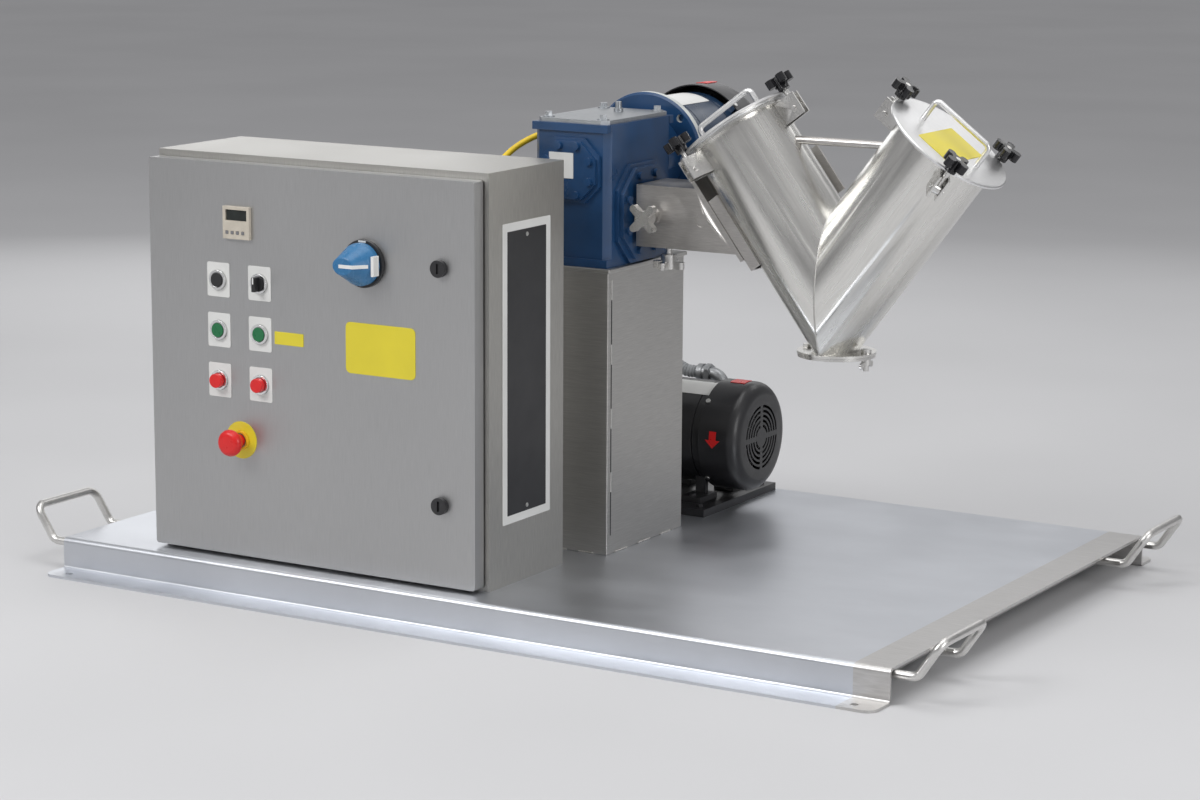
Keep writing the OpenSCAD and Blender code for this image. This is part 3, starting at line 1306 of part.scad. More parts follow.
// Discharge cover: turns on the left bolt, its slot open towards the back
module discharge_cover() {
    slot_r = spout_pin_r + 2 * seat;
    color("silver") translate([vessel_x, axis_y, cover_z0]) difference() {
        union() {
            cylinder(r = cover_r, h = cover_z1 - cover_z0);
            translate([0, 0, -spout_t]) cylinder(r = spout_bore_r, h = spout_t + over);
        }
        translate([-spout_arm / 2, 0, -over]) {
            cylinder(r = spout_pin_r + fit, h = spout_t + 2 * over);
            translate([spout_arm, 0, 0]) cylinder(r = slot_r, h = spout_t + 2 * over);
            rotate_extrude(angle = 40) translate([spout_arm - slot_r, 0]) square([2 * slot_r, spout_t + 2 * over]);
        }
    }
}

module wing_nut() {
    color("silver") translate([vessel_x + spout_r - spout_bolt_in, axis_y, cover_z0 - seat - wing_h]) difference() {
        union() {
            cylinder(r = wing_hub_r, h = wing_h);
            for (a = [0, 180]) rotate([0, 0, a + 90]) translate([0, -wing_t / 2, 0]) {
                cube([wing_l, wing_t, wing_h / 2]);
                translate([wing_l, 0, 0]) to_back() cylinder(r = wing_h / 2, h = wing_t);
            }
        }
        translate([0, 0, -over]) cylinder(r = spout_pin_r + fit, h = wing_h + 2 * over);
    }
}

// Conduit, cable and their fittings
function unit(v) = v / norm(v);
function blend(p0, p1, p2, p3, t) = 0.5 * (2 * p1 + (p2 - p0) * t + (2 * p0 - 5 * p1 + 4 * p2 - p3) * t * t
    + (3 * p1 - p0 - 3 * p2 + p3) * t * t * t);
function smooth(p, step) = let (n = len(p)) [
    for (i = [0:n - 2]) let (k = max(1, round(norm(p[i + 1] - p[i]) / step))) for (j = [0:k - 1])
        i == 0 || i == n - 2 ? p[i] + (p[i + 1] - p[i]) * j / k : blend(p[i - 1], p[i], p[i + 1], p[i + 2], j / k),
    p[n - 1]];
function along(p, i) = unit(p[min(i + 1, len(p) - 1)] - p[max(i - 1, 0)]);
function ring(p, i, r, side_ref) = let (t = along(p, i), u = unit(cross(t, side_ref)), v = cross(t, u))
    [for (j = [0:sweep_sides - 1]) p[i] + r * (cos(j * 360 / sweep_sides) * u + sin(j * 360 / sweep_sides) * v)];
function skin(first, rings, flip) = [for (i = [0:rings - 2], j = [0:sweep_sides - 1])
    let (a = first + i * sweep_sides + j, b = first + i * sweep_sides + (j + 1) % sweep_sides)
    flip ? [a, a + sweep_sides, b + sweep_sides, b] : [a, b, b + sweep_sides, a + sweep_sides]];

module conduit() {
    side_ref = [1, -1, 1];
    p = smooth(conduit_route, rib_pitch / 2);
    n = len(p);
    inner = [for (i = [0:6:n - 2]) i, n - 1];
    m = len(inner);
    outer_points = [for (i = [0:n - 1]) each ring(p, i, conduit_d / 2 - (i % 2) * rib_depth, side_ref)];
    inner_points = [for (i = inner) each ring(p, i, conduit_bore / 2, side_ref)];
    first = n * sweep_sides;
    last_out = (n - 1) * sweep_sides;
    last_in = first + (m - 1) * sweep_sides;
    ends = [for (j = [0:sweep_sides - 1]) let (k = (j + 1) % sweep_sides) each
        [[j, first + j, first + k, k], [last_out + k, last_in + k, last_in + j, last_out + j]]];
    color("gray") polyhedron(concat(outer_points, inner_points), concat(skin(0, n, false), skin(first, m, true), ends));
}

module motor_cable() {
    p = smooth(cable_route, 2 * cable_d);
    n = len(p);
    color("gold") polyhedron([for (i = [0:n - 1]) each ring(p, i, cable_d / 2, [1, 0, 0])],
        concat(skin(0, n, false), [[for (j = [sweep_sides - 1:-1:0]) j],
            [for (j = [0:sweep_sides - 1]) (n - 1) * sweep_sides + j]]));
}

// Gland: nut, body and clamping cap along Z
module gland(r, l) {
    cylinder(r = r, h = 0.35 * l, $fn = 6);
    cylinder(r = 0.8 * r, h = 0.7 * l);
    translate([0, 0, 0.6 * l]) cylinder(r = 0.92 * r, h = 0.4 * l - seat);
}

module conduit_fittings() {
    color("silver") translate([chop_box_x, chop_box_y, chop_box_top]) {
        gland(gland_r, gland_l);
        cylinder(d = conduit_d, h = elbow_z - chop_box_top - elbow_bend);
        translate([0, 0, elbow_z - chop_box_top - elbow_bend]) rotate([0, 0, 180]) {
            elbow(90, elbow_bend, conduit_d / 2);
            after_elbow(90, elbow_bend) gland(gland_r, gland_l);
        }
    }
    color("silver") translate([conduit_x1, encl_y1, conduit_z]) to_back() gland(gland_r, gland_l);
    color("dimgray") translate([cable_x0, encl_y1, cable_z]) to_back() gland(cable_gland_r, cable_gland_l);
    color("dimgray") translate([blend_box_x, blend_box_y, blend_gland_z]) to_front() gland(cable_gland_r, cable_gland_l);
}

skid_deck();
carry_handles();
column();
enclosure_body();
subpanel();
control_devices();
disconnect_switch();
disconnect_shaft();
gearbox_housing();
gearbox_covers();
motor_flange();
blend_motor_body();
blend_fan_cover();
blend_motor_rotor();
chopper_motor_body();
chopper_fan_cover();
chopper_motor_rotor();
conduit();
conduit_fittings();
motor_cable();
belt_guard();
drive_belt();
chopper_shaft();
door_panel();
door_gasket();
timer();
door_bezels();
latch_upper();
latch_lower();
disconnect_handle();
selector_knob();
blend_start();
chopper_start();
blend_stop();
chopper_stop();
jog_button();
emergency_stop();
output_shaft();
arm_sleeve();
arm_knob_front();
arm_knob_bottom();
vessel_bracket();
vessel_shell();
clamp_lugs();
discharge_cover();
wing_nut();
lid_left();
lid_right();
swing_bolt_l1();
swing_bolt_l2();
swing_bolt_l3();
swing_bolt_r1();
swing_bolt_r2();
swing_bolt_r3();
star_knob_l1();
star_knob_l2();
star_knob_l3();
star_knob_r1();
star_knob_r2();
star_knob_r3();
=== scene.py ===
import json
import math

import bmesh
import bpy
from mathutils import Matrix, Vector

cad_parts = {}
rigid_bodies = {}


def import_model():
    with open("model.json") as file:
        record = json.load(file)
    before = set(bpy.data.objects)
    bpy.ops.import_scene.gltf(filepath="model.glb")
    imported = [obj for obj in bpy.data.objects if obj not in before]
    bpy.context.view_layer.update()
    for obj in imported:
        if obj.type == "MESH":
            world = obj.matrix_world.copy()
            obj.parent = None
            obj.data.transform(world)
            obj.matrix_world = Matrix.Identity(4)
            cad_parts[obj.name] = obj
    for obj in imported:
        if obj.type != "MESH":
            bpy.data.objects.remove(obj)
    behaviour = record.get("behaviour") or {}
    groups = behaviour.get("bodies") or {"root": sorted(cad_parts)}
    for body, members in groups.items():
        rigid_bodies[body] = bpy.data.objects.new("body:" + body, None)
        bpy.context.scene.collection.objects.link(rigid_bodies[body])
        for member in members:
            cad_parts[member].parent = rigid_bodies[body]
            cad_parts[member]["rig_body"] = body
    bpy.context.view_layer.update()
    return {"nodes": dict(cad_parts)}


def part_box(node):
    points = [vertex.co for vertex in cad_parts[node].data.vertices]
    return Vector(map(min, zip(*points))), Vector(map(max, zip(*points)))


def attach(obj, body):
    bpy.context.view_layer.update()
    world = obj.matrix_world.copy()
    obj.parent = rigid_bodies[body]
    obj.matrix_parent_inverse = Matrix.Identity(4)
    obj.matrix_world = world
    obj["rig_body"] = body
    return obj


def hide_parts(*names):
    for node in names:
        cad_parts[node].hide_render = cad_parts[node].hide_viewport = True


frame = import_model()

NODES = frame["nodes"]
MM = 0.001

# Deck and vessel, in metres, as the CAD has them
DECK_TOP = 0.050
LEG_ANGLE = math.radians(37)
LEG_R = 0.076
VESSEL_X = 0.393
AXIS_Y = -0.009
MEET_Z = 0.466
SPOUT_Z = 0.3797
LID_TOP = 0.285

# Motors, in metres: the axis' two coordinates in the plane across it, and where plates lie on
# the case and on the cowl
BLEND_AXIS = (-0.004, 0.627)
BLEND_CASE_R = 0.0861
BLEND_COWL_R = 0.0982
CHOPPER_AXIS = (0.313, 0.163)
CHOPPER_CASE_R = 0.0821
CHOPPER_COWL_R = 0.0882


# ---------------------------------------------------------------- materials

# The values that a noise texture mostly keeps between, and its own roughness
NOISE_LOW, NOISE_HIGH = 0.3, 0.7
NOISE_ROUGHNESS = 0.5

# Sizes in metres: brushing lines before they are stretched, stains on the deck, and the drift of
# colour over paint and plastic
LINE_SIZE = 0.03
STAIN_SIZE = 0.16
ENAMEL_DRIFT = 0.045
PLASTIC_DRIFT = 0.012

# Where the deck's duller strip starts, in metres, from the one tone to the other. The strip's
# darker tone is partly its ground finish, partly painted shade for its tilted reflection
STRIP_FROM, STRIP_TO = 0.6455, 0.6465

# How far roughness goes under and over its value, on steel with a full stain, paint and plastic
STEEL_WEAR = (-0.3, 0.4)
ENAMEL_WEAR = (-0.05, 0.12)
PLASTIC_WEAR = (-0.06, 0.06)

# Share of the mottling that multiplies the tone of brushed steel
MOTTLE_SHARE = 0.5

WHITE = (1, 1, 1)


def set_inputs(node, values):
    """A node's inputs set by name, with an underscore for each space."""
    for name, value in values.items():
        node.inputs[name.replace("_", " ")].default_value = value


def set_stops(ramp, low, dark, high, light):
    """A colour ramp that goes from dark at the low place to light at the high one."""
    first, last = ramp.color_ramp.elements
    first.position, first.color = low, (*dark, 1)
    last.position, last.color = high, (*light, 1)


class Nodes:
    """A short way to lay out one material's node tree."""

    def __init__(self, name):
        self.mat = bpy.data.materials.new(name)
        self.mat.use_nodes = True
        self.tree = self.mat.node_tree
        self.shader = self.tree.nodes["Principled BSDF"]
        self.coords = self.node("TexCoord").outputs["Object"]

    def node(self, kind, **values):
        """A new shader node, with inputs set by name."""
        made = self.tree.nodes.new("ShaderNode" + kind)
        set_inputs(made, values)
        return made

    def link(self, out, socket):
        self.tree.links.new(out, socket)

    def feed(self, name, out):
        """Another node's output led to an input of the shader."""
        self.link(out, self.shader.inputs[name])

    def set(self, **values):
        set_inputs(self.shader, values)

    def noise(self, size, detail, stretch=(1, 1, 1), turn=0.0):
        """Noise of a size in metres, stretched along the axes; turn leans those about Y."""
        coords = self.coords
        if turn:
            lean = self.node("Mapping", Rotation=(0, turn, 0))
            self.link(coords, lean.inputs["Vector"])
            coords = lean.outputs["Vector"]
        mapping = self.node("Mapping", Scale=stretch)
        self.link(coords, mapping.inputs["Vector"])
        tex = self.node("TexNoise", Scale=1.0 / size, Detail=detail, Roughness=NOISE_ROUGHNESS)
        self.link(mapping.outputs["Vector"], tex.inputs["Vector"])
        return tex.outputs["Fac"]

    def between(self, fac, low, high):
        """A noise's usual span, mapped to the values from low to high."""
        span = self.node("MapRange", From_Min=NOISE_LOW, From_Max=NOISE_HIGH,
                         To_Min=low, To_Max=high)
        self.link(fac, span.inputs["Value"])
        return span.outputs["Result"]

    def worn(self, fac, rough, wear, share=1.0):
        """Roughness that goes from under its value to over it."""
        low, high = wear
        return self.between(fac, rough + low * share, rough + high * share)

    def ramp(self, fac, dark, light):
        """A noise's usual span, mapped to the colours from dark to light."""
        ramp = self.node("ValToRGB")
        set_stops(ramp, NOISE_LOW, dark, NOISE_HIGH, light)
        self.link(fac, ramp.inputs["Fac"])
        return ramp.outputs["Color"]

    def mix(self, first, second, blend):
        """Two colours mixed: the result, and the factor's socket, which is still to be fed."""
        mix = self.node("Mix")
        mix.data_type = "RGBA"
        mix.blend_type = blend
        self.link(first, mix.inputs["A"])
        self.link(second, mix.inputs["B"])
        return mix.outputs["Result"], mix.inputs["Factor"]

    def bump(self, fac, height, strength=1.0):
        """A normal from a noise, its height in metres."""
        bump = self.node("Bump", Strength=strength, Distance=height)
        self.link(fac, bump.inputs["Height"])
        return bump.outputs["Normal"]


def shade(colour, spread):
    """A darker and a lighter tone of a colour, each a share of it away."""
    return (tuple(max(0.0, c * (1 - spread)) for c in colour),
            tuple(min(1.0, c * (1 + spread)) for c in colour))


def brushed(name, colour, rough, grain, mottle, spread=0.10, depth=0.00004, stain=0.80,
            band=(1, 1, 1), turn=0.0):
    """Brushed steel: fine lines with broad mottling over them.

    grain stretches the lines, and spread is how far their tones lie from the colour. The
    mottling is mottle metres across and stretched by band, and stain is its darkest tone. depth
    is the height of the lines in metres, and turn leans lines and mottling about Y.
    """
    n = Nodes(name)
    lines = n.noise(LINE_SIZE, detail=6.0, stretch=grain, turn=turn)
    broad = n.noise(mottle, detail=3.0, stretch=band, turn=turn)
    dark, light = shade(colour, spread)
    tone, factor = n.mix(n.ramp(lines, dark, light), n.ramp(broad, (stain,) * 3, WHITE), "MULTIPLY")
    factor.default_value = MOTTLE_SHARE
    n.feed("Base Color", tone)
    n.feed("Roughness", n.worn(broad, rough, STEEL_WEAR, 1 - stain))
    n.feed("Normal", n.bump(lines, depth))
    n.set(Metallic=1.0)
    return n.mat


def enamel(name, colour, rough=0.32, peel=0.0030, depth=0.00010, coat=0.25, spread=0.14):
    """Painted casting: orange peel, slight colour drift and dust in the roughness."""
    n = Nodes(name)
    fine = n.noise(peel, detail=2.0)
    broad = n.noise(ENAMEL_DRIFT, detail=4.0)
    n.feed("Base Color", n.ramp(broad, *shade(colour, spread)))
    n.feed("Roughness", n.worn(broad, rough, ENAMEL_WEAR))
    n.feed("Normal", n.bump(fine, depth, strength=0.5))
    n.set(Coat_Weight=coat, Coat_Roughness=0.18)
    return n.mat


def moulded(name, colour, rough=0.45, grain=0.0012, depth=0.00003, spread=0.08):
    """Moulded plastic or rubber with a fine grain."""
    n = Nodes(name)
    fine = n.noise(grain, detail=3.0)
    broad = n.noise(PLASTIC_DRIFT, detail=3.0)
    n.feed("Base Color", n.ramp(broad, *shade(colour, spread)))
    n.feed("Roughness", n.worn(broad, rough, PLASTIC_WEAR))
    n.feed("Normal", n.bump(fine, depth, strength=0.6))
    return n.mat


def deck_steel():
    """Deck sheet: long brushing, stains, and a duller welded strip along the right end, whose
    darker tone is partly its ground finish and partly painted shade.
    """
    n = Nodes("deck_sheet")
    lines = n.noise(LINE_SIZE, detail=6.0, stretch=(1, 40, 8))
    stain = n.noise(STAIN_SIZE, detail=5.0, stretch=(1, 1.6, 1))
    split = n.node("SeparateXYZ")
    n.link(n.coords, split.inputs["Vector"])
    strip = n.node("MapRange", From_Min=STRIP_FROM, From_Max=STRIP_TO)
    n.link(split.outputs["X"], strip.inputs["Value"])
    sheet_tone = n.ramp(stain, (0.62, 0.64, 0.68), (0.70, 0.72, 0.76))
    # Strip: brushing lines in a darker, browner tone, partly ground finish and partly painted shade
    strip_finish_and_shade = n.ramp(lines, (0.54, 0.53, 0.52), (0.66, 0.65, 0.64))
    tone, factor = n.mix(sheet_tone, strip_finish_and_shade, "MIX")
    n.link(strip.outputs["Result"], factor)
    n.feed("Base Color", tone)
    n.feed("Roughness", n.between(stain, 0.36, 0.43))
    n.feed("Normal", n.bump(lines, 0.00003))
    n.set(Metallic=1.0)
    return n.mat


def make_materials():
    """All materials by their short names; colours are linear."""
    vessel = dict(colour=(0.80, 0.79, 0.76), rough=0.25, grain=(22, 22, 0.7), mottle=0.10,
                  spread=0.06, depth=0.000012, stain=0.84, band=(7, 7, 0.5))
    flat = dict(peel=0.006, depth=0.00003)
    return {
        "deck": deck_steel(),
        "column": brushed("column_sheet", (0.56, 0.55, 0.53), 0.40, (1, 1, 40), 0.16, stain=0.90),
        "enclosure": brushed("enclosure_sheet", (0.54, 0.53, 0.50), 0.40, (30, 30, 1.2), 0.22,
                             stain=0.92),
        "door": brushed("door_sheet", (0.50, 0.50, 0.50), 0.46, (28, 28, 1.0), 0.25,
                        spread=0.04, stain=0.95),
        "vessel_left": brushed("vessel_left_polish", turn=LEG_ANGLE, **vessel),
        "vessel_right": brushed("vessel_right_polish", turn=-LEG_ANGLE, **vessel),
        "lid": brushed("lid_polish", (0.84, 0.84, 0.84), 0.40, (3, 24, 3), 0.07,
                       spread=0.04, depth=0.00002, stain=0.94),
        "bright": brushed("bright_steel", (0.72, 0.71, 0.69), 0.27, (9, 9, 9), 0.03,
                          spread=0.06, depth=0.000008, stain=0.90),
        "rod": brushed("rod_steel", (0.74, 0.73, 0.71), 0.34, (30, 3, 30), 0.03),
        "zinc": brushed("zinc_screw", (0.66, 0.66, 0.64), 0.34, (12, 12, 12), 0.008),
        "machined": brushed("machined_cover", (0.46, 0.48, 0.50), 0.42, (2, 30, 2), 0.03),
        "pale": enamel("pale_casting", (0.60, 0.62, 0.60), rough=0.42, coat=0.1),
        "blue": enamel("blue_enamel", (0.009, 0.050, 0.138)),
        "navy": enamel("navy_enamel", (0.010, 0.030, 0.068), rough=0.28),
        "black": enamel("black_enamel", (0.016, 0.016, 0.018), rough=0.36, peel=0.0045),
        "panel": enamel("white_powder_coat", (0.78, 0.78, 0.76), rough=0.5, coat=0.0),
        "plate": enamel("bare_plate", (0.74, 0.74, 0.72), rough=0.4, spread=0.03, **flat),
        "field": enamel("dark_field", (0.012, 0.012, 0.014), rough=0.38, **flat),
        "yellow": enamel("yellow_plate", (0.76, 0.64, 0.03), rough=0.42, spread=0.03, **flat),
        "amber": moulded("amber_ring", (0.80, 0.50, 0.02)),
        "grey_plastic": moulded("grey_plastic", (0.20, 0.20, 0.21)),
        "pale_plastic": moulded("pale_plastic", (0.52, 0.52, 0.50)),
        "dark_plastic": moulded("dark_plastic", (0.022, 0.022, 0.024), rough=0.38),
        "blue_plastic": moulded("blue_plastic", (0.035, 0.17, 0.36), rough=0.28, spread=0.05),
        "green": moulded("green_button", (0.012, 0.16, 0.055), rough=0.3, spread=0.05),
        "red": moulded("red_button", (0.72, 0.016, 0.016), rough=0.32, spread=0.05),
        "white_plastic": moulded("white_mark", (0.82, 0.82, 0.80), rough=0.4, spread=0.03),
        "beige": moulded("beige_bezel", (0.56, 0.51, 0.43), rough=0.5),
        "screen": moulded("dark_screen", (0.020, 0.024, 0.022), rough=0.12, spread=0.2),
        "rubber": moulded("black_rubber", (0.018, 0.018, 0.018), rough=0.65, grain=0.002),
        "chrome": brushed("chrome_plate", (0.80, 0.80, 0.80), 0.14, (6, 6, 6), 0.01,
                          spread=0.04, depth=0.00001),
        "cable": moulded("yellow_jacket", (0.80, 0.56, 0.02), rough=0.42),
        "hose": moulded("grey_conduit", (0.30, 0.31, 0.32), rough=0.5),
        "arm": brushed("arm_sheet", (0.58, 0.56, 0.54), 0.36, (2, 26, 26), 0.06),
        "knob": moulded("knob_plastic", (0.014, 0.014, 0.016), rough=0.22, grain=0.004),
        "grey_metal": brushed("cast_fitting", (0.42, 0.43, 0.44), 0.45, (8, 8, 8), 0.006),
        "seam": brushed("dressed_seam", (0.62, 0.61, 0.59), 0.36, (20, 20, 20), 0.01, spread=0.12),
    }


MATS = make_materials()


# ---------------------------------------------------------------- pieces

# Angles in degrees: over which an edge stays sharp, on plates and on swept tubes, over which a
# bevel softens it, and under which the CAD's facets count as one face
SHARP_ANGLE = 35
TUBE_SHARP_ANGLE = 60
BEVEL_ANGLE = 40
FLAT_ANGLE = 0.5

# Corners nearer than this are one, and the edge of a thin plate, in metres
MERGE_DIST = 0.000002
THIN_EDGE = 0.0002


def add_mesh(name, bm, mats, body, smooth_angle=SHARP_ANGLE, bevel=0.0, segments=2):
    """A new object from bmesh, riding on a CAD body."""
    mesh = bpy.data.meshes.new(name)
    bm.to_mesh(mesh)
    bm.free()
    for key in mats:
        mesh.materials.append(MATS[key])
    obj = bpy.data.objects.new(name, mesh)
    bpy.context.scene.collection.objects.link(obj)
    finish_edges(obj, smooth_angle, bevel, segments)
    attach(obj, body)
    return obj


def finish_edges(obj, smooth_angle, bevel, segments):
    """Smooth shading up to an angle, and a bevel in metres on the corners' edges."""
    mesh = obj.data
    mesh.polygons.foreach_set("use_smooth", [True] * len(mesh.polygons))
    mesh.set_sharp_from_angle(angle=math.radians(smooth_angle))
    if bevel > 0:
        mod = obj.modifiers.new("edges", "BEVEL")
        mod.width = bevel
        mod.segments = segments
        mod.limit_method = "ANGLE"
        mod.angle_limit = math.radians(BEVEL_ANGLE)
        mod.harden_normals = True
        mod.use_clamp_overlap = True


def thin_piece(name, bm, mats, body, edge=THIN_EDGE):
    """A thin piece on a body, its edge hardly softened."""
    add_mesh(name, bm, mats, body, bevel=edge, segments=1)


def islands(bm):
    """Groups of joined faces, each with the low and the high corner of its box."""
    seen, groups = set(), []
    for face in bm.faces:
        if face in seen:
            continue
        stack, group = [face], []
        seen.add(face)
        while stack:
            f = stack.pop()
            group.append(f)
            for edge in f.edges:
                for other in edge.link_faces:
                    if other not in seen:
                        seen.add(other)
                        stack.append(other)
        points = [v.co for f in group for v in f.verts]
        low = Vector([min(p[i] for p in points) for i in range(3)])
        high = Vector([max(p[i] for p in points) for i in range(3)])
        groups.append((group, low, high))
    return groups


def dress(node, mats, bevel, by_island=None, by_face=None):
    """A copy of a CAD node's mesh with its materials, its edges softened to a bevel in metres.

    Where there is more than one material, by_island gives the index of a group of joined faces
    from the corners of its box, or by_face gives each face its own.
    """
    bm = bmesh.new()
    bm.from_mesh(NODES[node].data)
    bmesh.ops.remove_doubles(bm, verts=bm.verts, dist=MERGE_DIST)
    flat = math.radians(FLAT_ANGLE)
    bmesh.ops.dissolve_limit(bm, angle_limit=flat, verts=bm.verts, edges=bm.edges)
    for face in bm.faces:
        face.material_index = by_face(face) if by_face else 0
    if by_island:
        for group, low, high in islands(bm):
            index = by_island(low, high)
            for face in group:
                face.material_index = index
    obj = add_mesh(node + "_finish", bm, mats, NODES[node]["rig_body"], bevel=bevel)
    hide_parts(node)


def frame_at(origin, x_axis, z_axis):
    """Placement with its X and Z along the given directions."""
    z = Vector(z_axis).normalized()
    x = Vector(x_axis).normalized()
    y = z.cross(x)
    m = Matrix((x, y, z)).transposed().to_4x4()
    m.translation = Vector(origin)
    return m


def polar(r, degrees):
    """The two coordinates of a point on a circle about the origin."""
    return r * math.cos(math.radians(degrees)), r * math.sin(math.radians(degrees))


def disc(r, steps):
    """Outline of a circle about the origin."""
    return [polar(r, 360 * i / steps) for i in range(steps)]


def rounded(w, h, r, steps=6):
    """Outline of a rectangle about the origin with round corners."""
    x, y = w / 2 - r, h / 2 - r
    points = []
    for cx, cy, start in ((x, y, 0), (-x, y, 90), (-x, -y, 180), (x, -y, 270)):
        for i in range(steps + 1):
            dx, dy = polar(r, start + 90 * i / steps)
            points.append((cx + dx, cy + dy))
    return points


def upright_bar(half_w, low, high):
    """Outline of a bar about the middle, from a low to a high edge."""
    return [(-half_w, low), (half_w, low), (half_w, high), (-half_w, high)]


def outline_prism(points, place, depth, bm=None, index=0):
    """A flat outline pushed out by depth along its own Z, then placed."""
    bm = bm or bmesh.new()
    back = [bm.verts.new(place @ Vector((x, y, 0))) for x, y in points]
    front = [bm.verts.new(place @ Vector((x, y, depth))) for x, y in points]
    faces = [bm.faces.new(list(reversed(back))), bm.faces.new(front)]
    for i in range(len(points)):
        j = (i + 1) % len(points)
        faces.append(bm.faces.new((back[i], back[j], front[j], front[i])))
    for face in faces:
        face.material_index = index
    return bm


def ring_prism(inner, outer, place, depth):
    """A flat ring between two outlines of equal length, pushed out by depth."""
    bm = bmesh.new()
    rows = []
    for points, z in ((outer, 0), (outer, depth), (inner, depth), (inner, 0)):
        rows.append([bm.verts.new(place @ Vector((x, y, z))) for x, y in points])
    for a, b in zip(rows, rows[1:] + rows[:1]):
        for i in range(len(a)):
            j = (i + 1) % len(a)
            bm.faces.new((a[i], a[j], b[j], b[i]))
    return bm


def skin(bm, rings):
    """Faces from each ring of corners to the next, and a cap on the first and the last."""
    for a, b in zip(rings, rings[1:]):
        for i in range(len(a)):
            j = (i + 1) % len(a)
            bm.faces.new((a[i], a[j], b[j], b[i]))
    bm.faces.new(list(reversed(rings[0])))
    bm.faces.new(rings[-1])


def tube_bm(points, radii, sides, ref):
    """A tube swept along points, with one radius per point; ref is never along the tube."""
    bm = bmesh.new()
    rings = []
    for i, p in enumerate(points):
        before = points[max(i - 1, 0)]
        after = points[min(i + 1, len(points) - 1)]
        along = (after - before).normalized()
        u = along.cross(ref).normalized()
        v = along.cross(u)
        rings.append([bm.verts.new(p + x * u + y * v) for x, y in disc(radii[i], sides)])
    skin(bm, rings)
    return bm


# ---------------------------------------------------------------- CAD nodes

# Limits, in metres, that tell a node's materials apart
TOP_COVER_Z = 0.694
SCREW_SIZE = 0.03
CABLE_GLANDS_Z = 0.5
BUTTONS_X, BEZELS_Y, AMBER_RING_Z = -0.25, -0.405, 0.27
TIMER_FRONT_Y = -0.4128
RAILS_Y, TERMINALS_Z = -0.2102, 0.19
FOOT_BOLTS_LOW, FOOT_BOLTS_HIGH, FOOT_BOLTS_OUT = 0.0615, 0.0690, 0.112

# A face whose normal's Y is under this looks to the front
FACES_FRONT = -0.5


def top_cover(low, high):
    """Gearbox covers: the top cover with its bolts is bare metal, the octagons are painted."""
    return 1 if low.z > TOP_COVER_Z else 0


def screws(low, high):
    """A cowl's screws, which are its smallest islands."""
    return 1 if (high - low).length < SCREW_SIZE else 0


def cable_glands(low, high):
    """Fittings: the cable's two glands stand higher than the conduit's."""
    return 1 if low.z > CABLE_GLANDS_Z else 0


def bezel_parts(low, high):
    """Door bezels: chrome rings, an amber one at the stop, and dark blocks and base."""
    if low.x > BUTTONS_X or high.y > BEZELS_Y:
        return 2
    return 1 if high.z < AMBER_RING_Z else 0


def timer_parts(face):
    """Timer: a pale front, and a dark case behind it."""
    return 1 if face.calc_center_median().y > TIMER_FRONT_Y else 0


def device_parts(face):
    """Control devices: rails bright, terminal strip pale, the rest grey."""
    c = face.calc_center_median()
    if c.y > RAILS_Y:
        return 1
    return 2 if c.z < TERMINALS_Z else 0


def foot_bolts(face):
    """Chopper motor: the heads of its foot bolts and floor bolts are bare."""
    c = face.calc_center_median()
    out = abs(c.y - CHOPPER_AXIS[0])
    return 1 if FOOT_BOLTS_LOW < c.z < FOOT_BOLTS_HIGH and out > FOOT_BOLTS_OUT else 0


def flange_parts(face):
    """Motor flange: its front face is painted with the gearbox, its rim is bare."""
    return 0 if face.normal.y < FACES_FRONT else 1


def leg_parts(face):
    """Vessel: each leg has its own brushing direction."""
    return 0 if face.calc_center_median().x < VESSEL_X else 1


